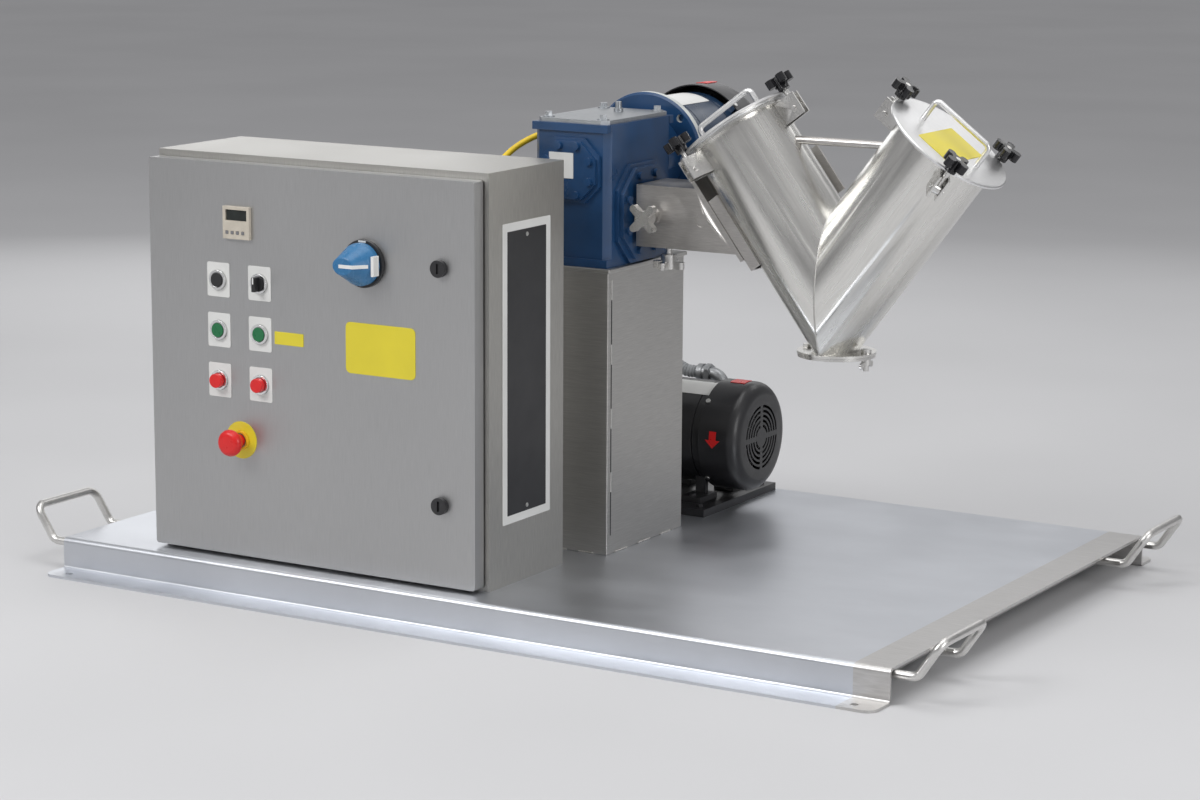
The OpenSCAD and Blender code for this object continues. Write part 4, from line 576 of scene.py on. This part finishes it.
def dress_cad():
    """Every node but the conduit, the cable and the disconnect handle, which have their own."""
    dress("skid_deck", ["deck"], 0.0006)
    dress("carry_handles", ["rod"], 0.0)
    dress("column", ["column"], 0.0015)
    dress("enclosure_body", ["enclosure"], 0.0012)
    dress("subpanel", ["panel"], 0.0006)
    dress("control_devices", ["grey_plastic", "zinc", "pale_plastic"], 0.0010,
          by_face=device_parts)
    dress("disconnect_switch", ["grey_plastic"], 0.0010)
    dress("disconnect_shaft", ["zinc"], 0.0005)
    dress("gearbox_housing", ["blue"], 0.0030)
    dress("gearbox_covers", ["blue", "machined"], 0.0012, by_island=top_cover)
    dress("motor_flange", ["blue", "pale"], 0.0012, by_face=flange_parts)
    dress("blend_motor_body", ["navy"], 0.0015)
    dress("blend_fan_cover", ["black", "zinc"], 0.0006, by_island=screws)
    dress("blend_motor_rotor", ["zinc"], 0.0004)
    dress("chopper_motor_body", ["black", "zinc"], 0.0012, by_face=foot_bolts)
    dress("chopper_fan_cover", ["black", "zinc"], 0.0006, by_island=screws)
    dress("chopper_motor_rotor", ["zinc"], 0.0004)
    dress("conduit_fittings", ["grey_metal", "dark_plastic"], 0.0006, by_island=cable_glands)
    dress("belt_guard", ["column"], 0.0010)
    dress("drive_belt", ["rubber"], 0.0)
    dress("chopper_shaft", ["bright"], 0.0005)
    dress("door_panel", ["door"], 0.0014)
    dress("door_gasket", ["rubber"], 0.0010)
    dress("timer", ["beige", "dark_plastic"], 0.0006, by_face=timer_parts)
    dress("door_bezels", ["chrome", "amber", "dark_plastic"], 0.0006, by_island=bezel_parts)
    for name in ("latch_upper", "latch_lower", "jog_button"):
        dress(name, ["dark_plastic"], 0.0010)
    dress("selector_knob", ["dark_plastic"], 0.0008)
    for name in ("blend_start", "chopper_start"):
        dress(name, ["green"], 0.0010)
    for name in ("blend_stop", "chopper_stop", "emergency_stop"):
        dress(name, ["red"], 0.0010)
    dress("output_shaft", ["bright"], 0.0010)
    dress("arm_sleeve", ["arm"], 0.0012)
    for name in ("arm_knob_front", "arm_knob_bottom"):
        dress(name, ["bright"], 0.0016)
    dress("vessel_bracket", ["arm"], 0.0006)
    dress("vessel_shell", ["vessel_left", "vessel_right"], 0.0006, by_face=leg_parts)
    for name in ("clamp_lugs", "discharge_cover", "wing_nut"):
        dress(name, ["bright"], 0.0008)
    for side, lid in (("l", "lid_left"), ("r", "lid_right")):
        dress(lid, ["lid"], 0.0006)
        for i in (1, 2, 3):
            dress(f"swing_bolt_{side}{i}", ["bright"], 0.0004)
            dress(f"star_knob_{side}{i}", ["knob"], 0.0018)


# ---------------------------------------------------------------- conduit and cable

# Their routes, in millimetres, as the CAD has them
CONDUIT_ROUTE = ((-66.7, 410, 238), (-87.7, 410, 238), (-130, 412, 250), (-190, 400, 236),
                 (-232, 352, 190), (-246, 288, 112), (-250, 226, 64), (-250, 160, 61),
                 (-250, 70, 61), (-250, -10, 62), (-250, -70, 76), (-250, -112, 98),
                 (-250, -143.9, 108), (-250, -164.9, 108))
CABLE_ROUTE = ((-160, -165.2, 580), (-160, -146.2, 580), (-152, -104, 606), (-134, -60, 644),
               (-114, -20, 664), (-106, 30, 668), (-104, 80, 656), (-105, 122.9, 649),
               (-105, 141.9, 649))

# Diameters, the conduit's ribs and the cable's steps in metres, with the points along each rib and
# the sides round both
CONDUIT_D = 0.021
RIB_PITCH = 0.006
RIB_DEPTH = 0.0016
RIB_POINTS = 6
CABLE_D = 0.0095
CABLE_STEP = 0.004
ROUND_SIDES = 28


def curve_point(p0, p1, p2, p3, t):
    """The point at t, from p1 to p2, of the smooth curve through all four."""
    square = 2 * p0 - 5 * p1 + 4 * p2 - p3
    cube = 3 * p1 - p0 - 3 * p2 + p3
    return 0.5 * (2 * p1 + (p2 - p0) * t + square * t * t + cube * t ** 3)


def smooth_route(route, step):
    """Points in metres along a curve through a route in millimetres, its end runs straight."""
    pts = [Vector(p) * MM for p in route]
    out = []
    for i in range(len(pts) - 1):
        n = max(1, round((pts[i + 1] - pts[i]).length / step))
        for j in range(n):
            if i in (0, len(pts) - 2):
                out.append(pts[i].lerp(pts[i + 1], j / n))
            else:
                out.append(curve_point(*pts[i - 1:i + 3], j / n))
    out.append(pts[-1])
    return out


def conduit_piece():
    """Ribbed conduit on the CAD's route: rounded ribs and narrow valleys."""
    pts = smooth_route(CONDUIT_ROUTE, RIB_PITCH / RIB_POINTS)
    valleys = [0.5 - 0.5 * math.cos(2 * math.pi * i / RIB_POINTS) for i in range(len(pts))]
    radii = [CONDUIT_D / 2 - RIB_DEPTH * valley ** 2 for valley in valleys]
    bm = tube_bm(pts, radii, ROUND_SIDES, ref=Vector((1, -1, 1)))
    obj = add_mesh("conduit_ribbed", bm, ["hose"], "frame", TUBE_SHARP_ANGLE)
    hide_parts("conduit")


def cable_piece():
    """Yellow cable in a smooth arch from the enclosure to the blend motor's box."""
    pts = smooth_route(CABLE_ROUTE, CABLE_STEP)
    bm = tube_bm(pts, [CABLE_D / 2] * len(pts), ROUND_SIDES, ref=Vector((1, 0, 0)))
    obj = add_mesh("motor_cable_jacket", bm, ["cable"], "frame", TUBE_SHARP_ANGLE)
    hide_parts("motor_cable")


# ---------------------------------------------------------------- door dress

# The door's face and the places of its devices, in metres, as the CAD has them
DOOR_Y = -0.4135
BUTTON_XS = (-0.421, -0.346)
BUTTON_ZS = (0.468, 0.393, 0.318)
BEZEL_R = 0.0147
TIMER_X, TIMER_Z = -0.3835, 0.555
STOP_X, STOP_Z = -0.3835, 0.231
DISCONNECT_X, DISCONNECT_Z = -0.158, 0.513

# Bare plates, in metres: width, height and corner radius round a button, and for the yellow ones
# the name and the middle too
BUTTON_PLATE = (0.041, 0.051, 0.003)
YELLOW_PLATES = (
    ("yellow_tag", (-0.294, 0.3905), (0.052, 0.019, 0.0015)),
    ("yellow_plate", (-0.1325, 0.3885), (0.121, 0.075, 0.008)),
)
STOP_RING_R = 0.028

# Thickness of the plates, the tags and the marks, in metres
PLATE_T = 0.0010
TAG_T = 0.0008
MARK_T = 0.0003

# Longest step along the outline of a plate round a button, in metres, and the steps round a ring
BUTTON_PLATE_STEP = 0.003
RING_STEPS = 64

# Timer, in metres: its screen and its four keys, up and out from the middle of the door's face
SCREEN_UP, SCREEN_OUT, SCREEN_T = 0.011, 0.0030, 0.0006
KEYS_UP, KEYS_OUT, KEY_T = -0.0146, 0.0050, 0.0014
KEY_SIZE, KEY_PITCH, FIRST_KEY = 0.0045, 0.0096, -0.01653
KEYS = 4
SCREEN_SIZE = (0.0378, 0.0154)
TIMER_CORNER = 0.0008

# White marks, in metres: half width, and low and high edge from the axis. The first is the
# selector's mark; the second, a white bar on the disconnect's base, is a painted highlight
SELECTOR_MARK = (0.0010, 0.001, 0.0105)
BASE_HIGHLIGHT_MARK = (0.0065, 0.0310, 0.0335)

# The disconnect's base stands this far out from the door's face, in metres
DISCONNECT_OUT = 0.0070


def on_door(x, z, out=0.0):
    """A place on the door's face or out from it: X to the right, Y up, Z out of the door."""
    return frame_at((x, DOOR_Y - out, z), (1, 0, 0), (0, -1, 0))


def button_plate(place):
    """A thin plate with round corners and a bezel's hole in its middle."""
    base = rounded(*BUTTON_PLATE, steps=5)
    outer = []
    for (x0, y0), (x1, y1) in zip(base, base[1:] + base[:1]):
        n = max(1, round(math.dist((x0, y0), (x1, y1)) / BUTTON_PLATE_STEP))
        outer += [(x0 + (x1 - x0) * k / n, y0 + (y1 - y0) * k / n) for k in range(n)]
    inner = [(BEZEL_R * x / math.hypot(x, y), BEZEL_R * y / math.hypot(x, y)) for x, y in outer]
    return ring_prism(inner, outer, place, PLATE_T)


def door_dress():
    """Bare plates on the door, the timer's screen and keys, a white mark on the selector, and a
    painted highlight in white on the disconnect's base.
    """
    for i, x in enumerate(BUTTON_XS):
        for j, z in enumerate(BUTTON_ZS):
            bm = button_plate(on_door(x, z))
            thin_piece(f"legend_plate_{i}{j}", bm, ["plate"], "door")
    inner, outer = disc(BEZEL_R, RING_STEPS), disc(STOP_RING_R, RING_STEPS)
    bm = ring_prism(inner, outer, on_door(STOP_X, STOP_Z), PLATE_T)
    thin_piece("stop_ring", bm, ["yellow"], "door")
    for name, middle, size in YELLOW_PLATES:
        bm = outline_prism(rounded(*size), on_door(*middle), TAG_T)
        thin_piece(name, bm, ["yellow"], "door")
    # Timer: a dark screen in its recess, and four keys in theirs
    place = on_door(TIMER_X, TIMER_Z + SCREEN_UP, SCREEN_OUT)
    bm = outline_prism(rounded(*SCREEN_SIZE, TIMER_CORNER), place, SCREEN_T)
    thin_piece("timer_screen", bm, ["screen"], "door")
    bm = bmesh.new()
    for i in range(KEYS):
        place = on_door(TIMER_X + FIRST_KEY + KEY_PITCH * i, TIMER_Z + KEYS_UP, KEYS_OUT)
        outline_prism(rounded(KEY_SIZE, KEY_SIZE, TIMER_CORNER), place, KEY_T, bm)
    thin_piece("timer_keys", bm, ["grey_plastic"], "door")
    # White mark on the selector, which stands in the upper right button's place, and a painted
    # highlight: a white bar at the top of the disconnect's base
    knob_low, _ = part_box("selector_knob")
    place = frame_at((BUTTON_XS[1], knob_low.y, BUTTON_ZS[0]), (1, 0, 0), (0, -1, 0))
    bm = outline_prism(upright_bar(*SELECTOR_MARK), place, MARK_T)
    thin_piece("selector_mark", bm, ["white_plastic"], "selector_knob", edge=0.0)
    # Painted highlight: a white bar at the top of the disconnect's base
    place = on_door(DISCONNECT_X, DISCONNECT_Z, DISCONNECT_OUT)
    bm = outline_prism(upright_bar(*BASE_HIGHLIGHT_MARK), place, MARK_T)
    thin_piece("disconnect_painted_highlight", bm, ["white_plastic"], "door", edge=0.0)


# ---------------------------------------------------------------- disconnect handle

# Its round skirt and the ridge that it is drawn up into, in metres
SKIRT_R = 0.031
SKIRT_SIDES = 72
RIDGE_X = -0.009
RIDGE_HALF_L, RIDGE_HALF_W = 0.017, 0.0125
RIDGE_END_X = RIDGE_X + RIDGE_HALF_L
HANDLE_SHARP_ANGLE, HANDLE_EDGE, HANDLE_EDGE_STEPS = 50, 0.0026, 4

# Rings from the skirt to the ridge: share of the depth, and how far the circle has turned into
# the ridge. The T's stem follows them from the fifth on
RIDGE_LEVELS = ((0, 0), (0.22, 0), (0.26, 0.02), (0.30, 0.06), (0.50, 0.34), (0.72, 0.63),
                (0.88, 0.84), (0.96, 0.94), (1.0, 1.0))
STEM_LEVELS = RIDGE_LEVELS[4:]

# The white T, in metres: its stem along the ridge, how far that stands out of it and reaches into
# it, and its bar across the pointing end, with that one's depths as shares of the handle's
STEM_HALF_W = 0.0026
STEM_END_X = -0.015
STEM_OUT, STEM_UP = 0.0005, 0.0004
STEM_IN, STEM_DOWN = 0.0012, 0.0010
BAR_X = 0.0290
BAR_SIZE = (0.0050, 0.029, 0.0008)
BAR_FROM, BAR_DEPTH = 0.10, 0.36


def blend(a, b, share):
    """From a at no share to b at a full one."""
    return a * (1 - share) + b * share


def rotary_handle():
    """Disconnect handle: a round skirt drawn up into a ridge that slopes down to its pointing
    end, with a white T on it."""
    node = "disconnect_handle"
    lo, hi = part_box(node)
    depth = hi.y - lo.y
    place = frame_at((DISCONNECT_X, hi.y, DISCONNECT_Z), (1, 0, 0), (0, -1, 0))
    bm = bmesh.new()
    rings = []
    for share, turned in RIDGE_LEVELS:
        half_w = blend(SKIRT_R, RIDGE_HALF_W, turned)
        ring = []
        for c, s in disc(1, SKIRT_SIDES):
            x = blend(SKIRT_R * c, RIDGE_X + RIDGE_HALF_L * c, turned)
            ring.append(bm.verts.new(place @ Vector((x, half_w * s, share * depth))))
        rings.append(ring)
    skin(bm, rings)
    obj = add_mesh("rotary_handle", bm, ["blue_plastic"], node,
                   HANDLE_SHARP_ANGLE, HANDLE_EDGE, HANDLE_EDGE_STEPS)
    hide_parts(node)
    # The T: its stem runs down the ridge, its bar stands on the pointing end
    edge = [(blend(SKIRT_R, RIDGE_END_X, turned), share * depth) for share, turned in STEM_LEVELS]
    top = [(x + STEM_OUT, z + STEM_UP) for x, z in edge] + [(STEM_END_X, depth + STEM_UP)]
    under = [(STEM_END_X, depth - STEM_DOWN)]
    under += [(x - STEM_IN, z - STEM_DOWN) for x, z in reversed(edge)]
    stem_place = frame_at((DISCONNECT_X, hi.y, DISCONNECT_Z + STEM_HALF_W), (1, 0, 0), (0, 0, -1))
    bm = outline_prism(under + top, stem_place, 2 * STEM_HALF_W)
    bar_place = place @ Matrix.Translation((BAR_X, 0, BAR_FROM * depth))
    outline_prism(rounded(*BAR_SIZE), bar_place, BAR_DEPTH * depth, bm)
    bmesh.ops.recalc_face_normals(bm, faces=bm.faces)
    thin_piece("disconnect_mark", bm, ["white_plastic"], node)


# ---------------------------------------------------------------- plates on frame and motors

# How deep a bent plate starts in the case, and how thick a plate and the arrow stand on it
CASE_SUNK = 0.0004
CASE_PLATE_T = 0.0007
ARROW_T = 0.0006
CASE_STEPS = 16

# Plates bent to the motors: name, direction of the axis, its place, radius, span along the axis in
# metres, and span round it in degrees
CASE_PLATES = (
    ("blend_plate", "y", BLEND_AXIS, BLEND_CASE_R, (0.160, 0.245), (62, 100)),
    ("chopper_plate", "x", CHOPPER_AXIS, CHOPPER_CASE_R, (-0.050, 0.040), (97, 124)),
)
COWL_MARKS = (
    ("blend_mark", "y", BLEND_AXIS, BLEND_COWL_R, (0.300, 0.332), (86, 98)),
    ("chopper_mark", "x", CHOPPER_AXIS, CHOPPER_COWL_R, (0.052, 0.078), (84, 100)),
)

# Enclosure's side plate and the gearbox's plate, in metres: middle, and width, height and corner
# radius. Each rivet is a disc with a smaller one on it: radius, and distance from the enclosure
SIDE_PLATE_AT = (0.036, -0.290, 0.358)
SIDE_BORDER = (0.128, 0.436, 0.002)
SIDE_FIELD = (0.104, 0.412, 0.001)
RIVET_UP = 0.198
RIVET_DISCS = ((0.0032, 0.0012), (0.0022, 0.0020))
RIVET_T = 0.0009
RIVET_STEPS = 20
GEARBOX_PLATE_AT = (-0.0145, -0.113, 0.634)
GEARBOX_PLATE = (0.042, 0.038, 0.001)

# Arrow that points down the cowl: its middle, along the axis in metres and round it in degrees,
# and its outline in metres from there
ARROW_X, ARROW_DEG = 0.060, 176
ARROW = ((-0.006, 0.013), (0.006, 0.013), (0.006, -0.001), (0.013, -0.001), (0, -0.014),
         (-0.013, -0.001), (-0.006, -0.001))


def on_cylinder(axis, centre, r, along, degrees):
    """A point of a motor's case, at an angle from the first of its centre's coordinates."""
    a, b = polar(r, degrees)
    if axis == "x":
        return Vector((along, centre[0] + a, centre[1] + b))
    return Vector((centre[0] + a, along, centre[1] + b))


def bent_plate(name, axis, centre, r, along, degrees, mat, slot):
    """A thin plate bent to a motor's case, between two places along it and two angles."""
    bm = bmesh.new()
    from_deg, to_deg = degrees
    angles = [from_deg + (to_deg - from_deg) * i / CASE_STEPS for i in range(CASE_STEPS + 1)]
    rows = []
    for radius in (r - CASE_SUNK, r + CASE_PLATE_T):
        for a in along:
            rows.append([bm.verts.new(on_cylinder(axis, centre, radius, a, d)) for d in angles])
    b0, b1, t0, t1 = rows
    for i in range(CASE_STEPS):
        bm.faces.new((t0[i], t0[i + 1], t1[i + 1], t1[i]))
        bm.faces.new((b0[i], b1[i], b1[i + 1], b0[i + 1]))
        bm.faces.new((b0[i], b0[i + 1], t0[i + 1], t0[i]))
        bm.faces.new((b1[i], t1[i], t1[i + 1], b1[i + 1]))
    for i in (0, CASE_STEPS):
        bm.faces.new((b0[i], t0[i], t1[i], b1[i]))
    bmesh.ops.recalc_face_normals(bm, faces=bm.faces)
    thin_piece(name, bm, [mat], "frame", edge=0.0)


def cowl_arrow():
    """Turning arrow, laid on the chopper motor's cowl as a thin piece."""
    bm = bmesh.new()
    r = CHOPPER_COWL_R
    rings = []
    for radius in (r - CASE_SUNK, r + ARROW_T):
        spots = [(ARROW_X + x, ARROW_DEG - math.degrees(y / r)) for x, y in ARROW]
        rings.append([bm.verts.new(on_cylinder("x", CHOPPER_AXIS, radius, *s)) for s in spots])
    skin(bm, rings)
    bmesh.ops.recalc_face_normals(bm, faces=bm.faces)
    thin_piece("turn_arrow", bm, ["red"], "frame", edge=0.0)


def plates():
    """Bare plates on the enclosure's side, the gearbox and the motors, and the red marks."""
    # Enclosure's side: white border, dark field, two rivets
    place = frame_at(SIDE_PLATE_AT, (0, 1, 0), (1, 0, 0))
    bm = outline_prism(rounded(*SIDE_BORDER), place, PLATE_T)
    on_plate = place @ Matrix.Translation((0, 0, PLATE_T))
    outline_prism(rounded(*SIDE_FIELD), on_plate, MARK_T, bm, 1)
    for up in (-RIVET_UP, RIVET_UP):
        for r, out in RIVET_DISCS:
            rivet_place = place @ Matrix.Translation((0, up, out))
            outline_prism(disc(r, RIVET_STEPS), rivet_place, RIVET_T, bm, 2)
    thin_piece("side_plate", bm, ["plate", "field", "zinc"], "frame")
    # Gearbox: its front cover
    place = frame_at(GEARBOX_PLATE_AT, (1, 0, 0), (0, -1, 0))
    bm = outline_prism(rounded(*GEARBOX_PLATE), place, TAG_T)
    thin_piece("gearbox_plate", bm, ["plate"], "frame")
    # Motors: plates on their cases, and red marks and an arrow on their cowls
    for plate in CASE_PLATES:
        bent_plate(*plate, "plate", "white_panel")
    for mark in COWL_MARKS:
        bent_plate(*mark, "red", "red_plastic")
    cowl_arrow()


# ---------------------------------------------------------------- welds and vessel dress

# A bead's steps, in metres, its sides, and how far and how fast its radius ripples
BEAD_STEP = 0.0012
BEAD_SIDES = 10
RIPPLE, RIPPLE_TURN = 0.14, 2.1

# Vessel's mitre seam, which starts above the spout's flange, in metres
SEAM_R = 0.0011
SEAM_STEPS = 40
SEAM_UP = 0.001

# Plate on the right lid, in metres: off the lid's middle, and width, height and corner radius
LID_PLATE_ACROSS, LID_PLATE_FRONT = 0.007, 0.010
LID_PLATE = (0.110, 0.062, 0.003)
LID_PLATE_T = 0.0007

# Column, in metres: its four sides, the open joint line and the stitches up the right one, and
# its foot's welds
COLUMN_X0, COLUMN_X1 = -0.095, 0.065
COLUMN_Y0, COLUMN_Y1 = -0.109, 0.119
JOINT_Y, JOINT_Z0, JOINT_PITCH, JOINT_OPEN = -0.0985, 0.079, 0.097, 0.067
JOINT_LINES = 4
JOINT_LINE_W, JOINT_LINE_CORNER = 0.0022, 0.0008
STITCH_OUT, STITCH_R = 0.0002, 0.0013
FOOT_WELD_OUT, FOOT_WELD_UP, FOOT_WELD_R = 0.0005, 0.0012, 0.0020

# The three runs of weld along a side of the foot, as shares of that side
FOOT_WELD_RUNS = ((0.10, 0.26), (0.40, 0.56), (0.70, 0.86))


def bead(name, points, r, body, mat):
    """A rippled weld bead along points."""
    corners = [Vector(p) for p in points]
    pts = []
    for a, b in zip(corners, corners[1:]):
        n = max(1, round((b - a).length / BEAD_STEP))
        pts += [a.lerp(b, k / n) for k in range(n)]
    pts.append(corners[-1])
    radii = [r * (1 - RIPPLE + RIPPLE * math.sin(i * RIPPLE_TURN)) for i in range(len(pts))]
    bm = tube_bm(pts, radii, BEAD_SIDES, ref=Vector((0.3, 0.5, 0.8)))
    add_mesh(name, bm, [mat], body, TUBE_SHARP_ANGLE)


def vessel_dress():
    """The seam where the two legs meet, and a bare plate on the right lid."""
    sin, cos = math.sin(LEG_ANGLE), math.cos(LEG_ANGLE)
    # Seam, from the spout's flange up to the crotch, on the front and on the back
    low = math.acos((MEET_Z - SPOUT_Z - SEAM_UP) * sin / LEG_R)
    angles = [blend(low, math.pi, i / SEAM_STEPS) for i in range(SEAM_STEPS + 1)]
    for name, s in (("mitre_seam_front", -1), ("mitre_seam_back", 1)):
        pts = [(VESSEL_X, AXIS_Y + s * LEG_R * math.sin(a), MEET_Z - LEG_R * math.cos(a) / sin)
               for a in angles]
        bead(name, pts, SEAM_R, "drum", "seam")
    # Plate, a little across the leg and to the front of the lid's middle
    origin = (VESSEL_X + LID_PLATE_ACROSS * cos + LID_TOP * sin, AXIS_Y - LID_PLATE_FRONT,
              MEET_Z - LID_PLATE_ACROSS * sin + LID_TOP * cos)
    place = frame_at(origin, (0, 1, 0), (sin, 0, cos))
    bm = outline_prism(rounded(*LID_PLATE), place, LID_PLATE_T)
    thin_piece("lid_plate", bm, ["yellow"], "lid_right")


def column_dress():
    """An open joint line up the right side, closed by stitch welds, and welds round the foot."""
    for i in range(JOINT_LINES):
        low = JOINT_Z0 + JOINT_PITCH * i
        high = low + JOINT_OPEN
        place = frame_at((COLUMN_X1, JOINT_Y, low + JOINT_OPEN / 2), (0, 1, 0), (1, 0, 0))
        bm = outline_prism(rounded(JOINT_LINE_W, JOINT_OPEN, JOINT_LINE_CORNER), place, MARK_T)
        thin_piece(f"joint_line_{i}", bm, ["rubber"], "frame", edge=0.0)
        x = COLUMN_X1 + STITCH_OUT
        stitch = [(x, JOINT_Y, high), (x, JOINT_Y, low + JOINT_PITCH)]
        bead(f"corner_weld_{i}", stitch, STITCH_R, "frame", "seam")
    z = DECK_TOP + FOOT_WELD_UP
    left, right = COLUMN_X0 - FOOT_WELD_OUT, COLUMN_X1 + FOOT_WELD_OUT
    front, rear = COLUMN_Y0 - FOOT_WELD_OUT, COLUMN_Y1 + FOOT_WELD_OUT
    sides = (((COLUMN_X0, front, z), (COLUMN_X1, front, z)),
             ((right, COLUMN_Y0, z), (right, COLUMN_Y1, z)),
             ((COLUMN_X1, rear, z), (COLUMN_X0, rear, z)),
             ((left, COLUMN_Y1, z), (left, COLUMN_Y0, z)))
    for k, (a, b) in enumerate(sides):
        for j, run in enumerate(FOOT_WELD_RUNS):
            points = [Vector(a).lerp(Vector(b), share) for share in run]
            bead(f"foot_weld_{k}{j}", points, FOOT_WELD_R, "frame", "bright")


# ---------------------------------------------------------------- scene

# Floor: its radius and how wide its two tones drift, in metres
FLOOR_R = 40.0
FLOOR_STEPS = 96
FLOOR_DRIFT = 0.9
FLOOR_TONES = ((0.60, 0.60, 0.61), (0.64, 0.64, 0.65))

# World: darker below, lighter above
WORLD_LOW, WORLD_DARK = 0.10, (0.36, 0.36, 0.37)
WORLD_HIGH, WORLD_LIGHT = 0.75, (0.60, 0.60, 0.61)
WORLD_STRENGTH = 0.68

# Lamps: name, place, target and size in metres, power in watts
LAMPS = (
    ("key", (-1.6, -3.2, 3.2), (0, 0, 0.35), (2.4, 1.6), 92),
    ("top", (0.3, -0.2, 3.6), (0.1, 0, 0.3), (2.6, 2.6), 46),
    ("right", (4.0, -1.4, 1.6), (0.2, 0, 0.4), (1.6, 2.2), 46),
    ("back_left", (-2.7, 2.4, 1.25), (-0.3, -0.2, 0.3), (1.6, 1.2), 9),
    ("back_high", (0.75, 2.9, 2.6), (0.6, 0, 0.6), (1.6, 1.0), 6),
    ("back_mid", (-0.9, 3.2, 1.5), (0, 0, 0.2), (2.4, 1.2), 6),
)

# Camera of the photograph: its turn from the front, its rise and its roll in degrees, where it
# stands and how far it sees in metres, and its lens and its sensor's width in millimetres
CAMERA_TURN, CAMERA_RISE, CAMERA_ROLL = 30.808, 10.843, 0.308
CAMERA_AT = (2.4154, -4.0723, 1.1705)
CLIP_END = 100
LENS = 94.653
SENSOR_WIDTH = 36.0


def make_stage():
    """A wide pale floor; its far end is the background."""
    n = Nodes("studio_floor")
    n.feed("Base Color", n.ramp(n.noise(FLOOR_DRIFT, detail=2.0), *FLOOR_TONES))
    n.set(Roughness=0.75)
    bm = bmesh.new()
    bm.faces.new([bm.verts.new((x, y, 0)) for x, y in disc(FLOOR_R, FLOOR_STEPS)])
    mesh = bpy.data.meshes.new("studio_floor")
    bm.to_mesh(mesh)
    bm.free()
    mesh.materials.append(n.mat)
    obj = bpy.data.objects.new("studio_floor", mesh)
    bpy.context.scene.collection.objects.link(obj)


def area_lamp(name, place, target, size, power):
    """A rectangular lamp that the camera doesn't see, turned to its target."""
    lamp = bpy.data.lights.new(name, "AREA")
    lamp.shape = "RECTANGLE"
    lamp.size, lamp.size_y = size
    lamp.energy = power
    obj = bpy.data.objects.new(name, lamp)
    obj.visible_camera = False
    obj.location = place
    aim = Vector(target) - Vector(place)
    obj.rotation_euler = aim.to_track_quat("-Z", "Y").to_euler()
    bpy.context.scene.collection.objects.link(obj)


def make_light():
    """A plain world that lightens upwards, and the lamps."""
    world = bpy.data.worlds.new("studio")
    bpy.context.scene.world = world
    world.use_nodes = True
    tree = world.node_tree
    back = tree.nodes["Background"]
    grad = tree.nodes.new("ShaderNodeTexGradient")
    coord = tree.nodes.new("ShaderNodeTexCoord")
    mapping = tree.nodes.new("ShaderNodeMapping")
    set_inputs(mapping, {"Rotation": (0, math.radians(90), 0)})
    ramp = tree.nodes.new("ShaderNodeValToRGB")
    set_stops(ramp, WORLD_LOW, WORLD_DARK, WORLD_HIGH, WORLD_LIGHT)
    tree.links.new(coord.outputs["Generated"], mapping.inputs["Vector"])
    tree.links.new(mapping.outputs["Vector"], grad.inputs["Vector"])
    tree.links.new(grad.outputs["Fac"], ramp.inputs["Fac"])
    tree.links.new(ramp.outputs["Color"], back.inputs["Color"])
    set_inputs(back, {"Strength": WORLD_STRENGTH})
    for lamp in LAMPS:
        area_lamp(*lamp)


def make_camera():
    """The camera fitted to the photograph, as seen from the front right."""
    az, el, roll = (math.radians(a) for a in (CAMERA_TURN, CAMERA_RISE, CAMERA_ROLL))
    back = Vector((math.sin(az) * math.cos(el), -math.cos(az) * math.cos(el), math.sin(el)))
    right = Vector((math.cos(az), math.sin(az), 0))
    up = back.cross(right)
    tilt_right = math.cos(roll) * right + math.sin(roll) * up
    tilt_up = -math.sin(roll) * right + math.cos(roll) * up
    cam = bpy.data.cameras.new("photo_camera")
    cam.lens = LENS
    cam.sensor_width = SENSOR_WIDTH
    cam.clip_end = CLIP_END
    obj = bpy.data.objects.new("photo_camera", cam)
    m = Matrix((tilt_right, tilt_up, back)).transposed().to_4x4()
    m.translation = Vector(CAMERA_AT)
    obj.matrix_world = m
    bpy.context.scene.collection.objects.link(obj)
    bpy.context.scene.camera = obj


bpy.context.scene.view_settings.view_transform = "Standard"
make_camera()
dress_cad()
conduit_piece()
cable_piece()
door_dress()
rotary_handle()
plates()
vessel_dress()
column_dress()
make_stage()
make_light()
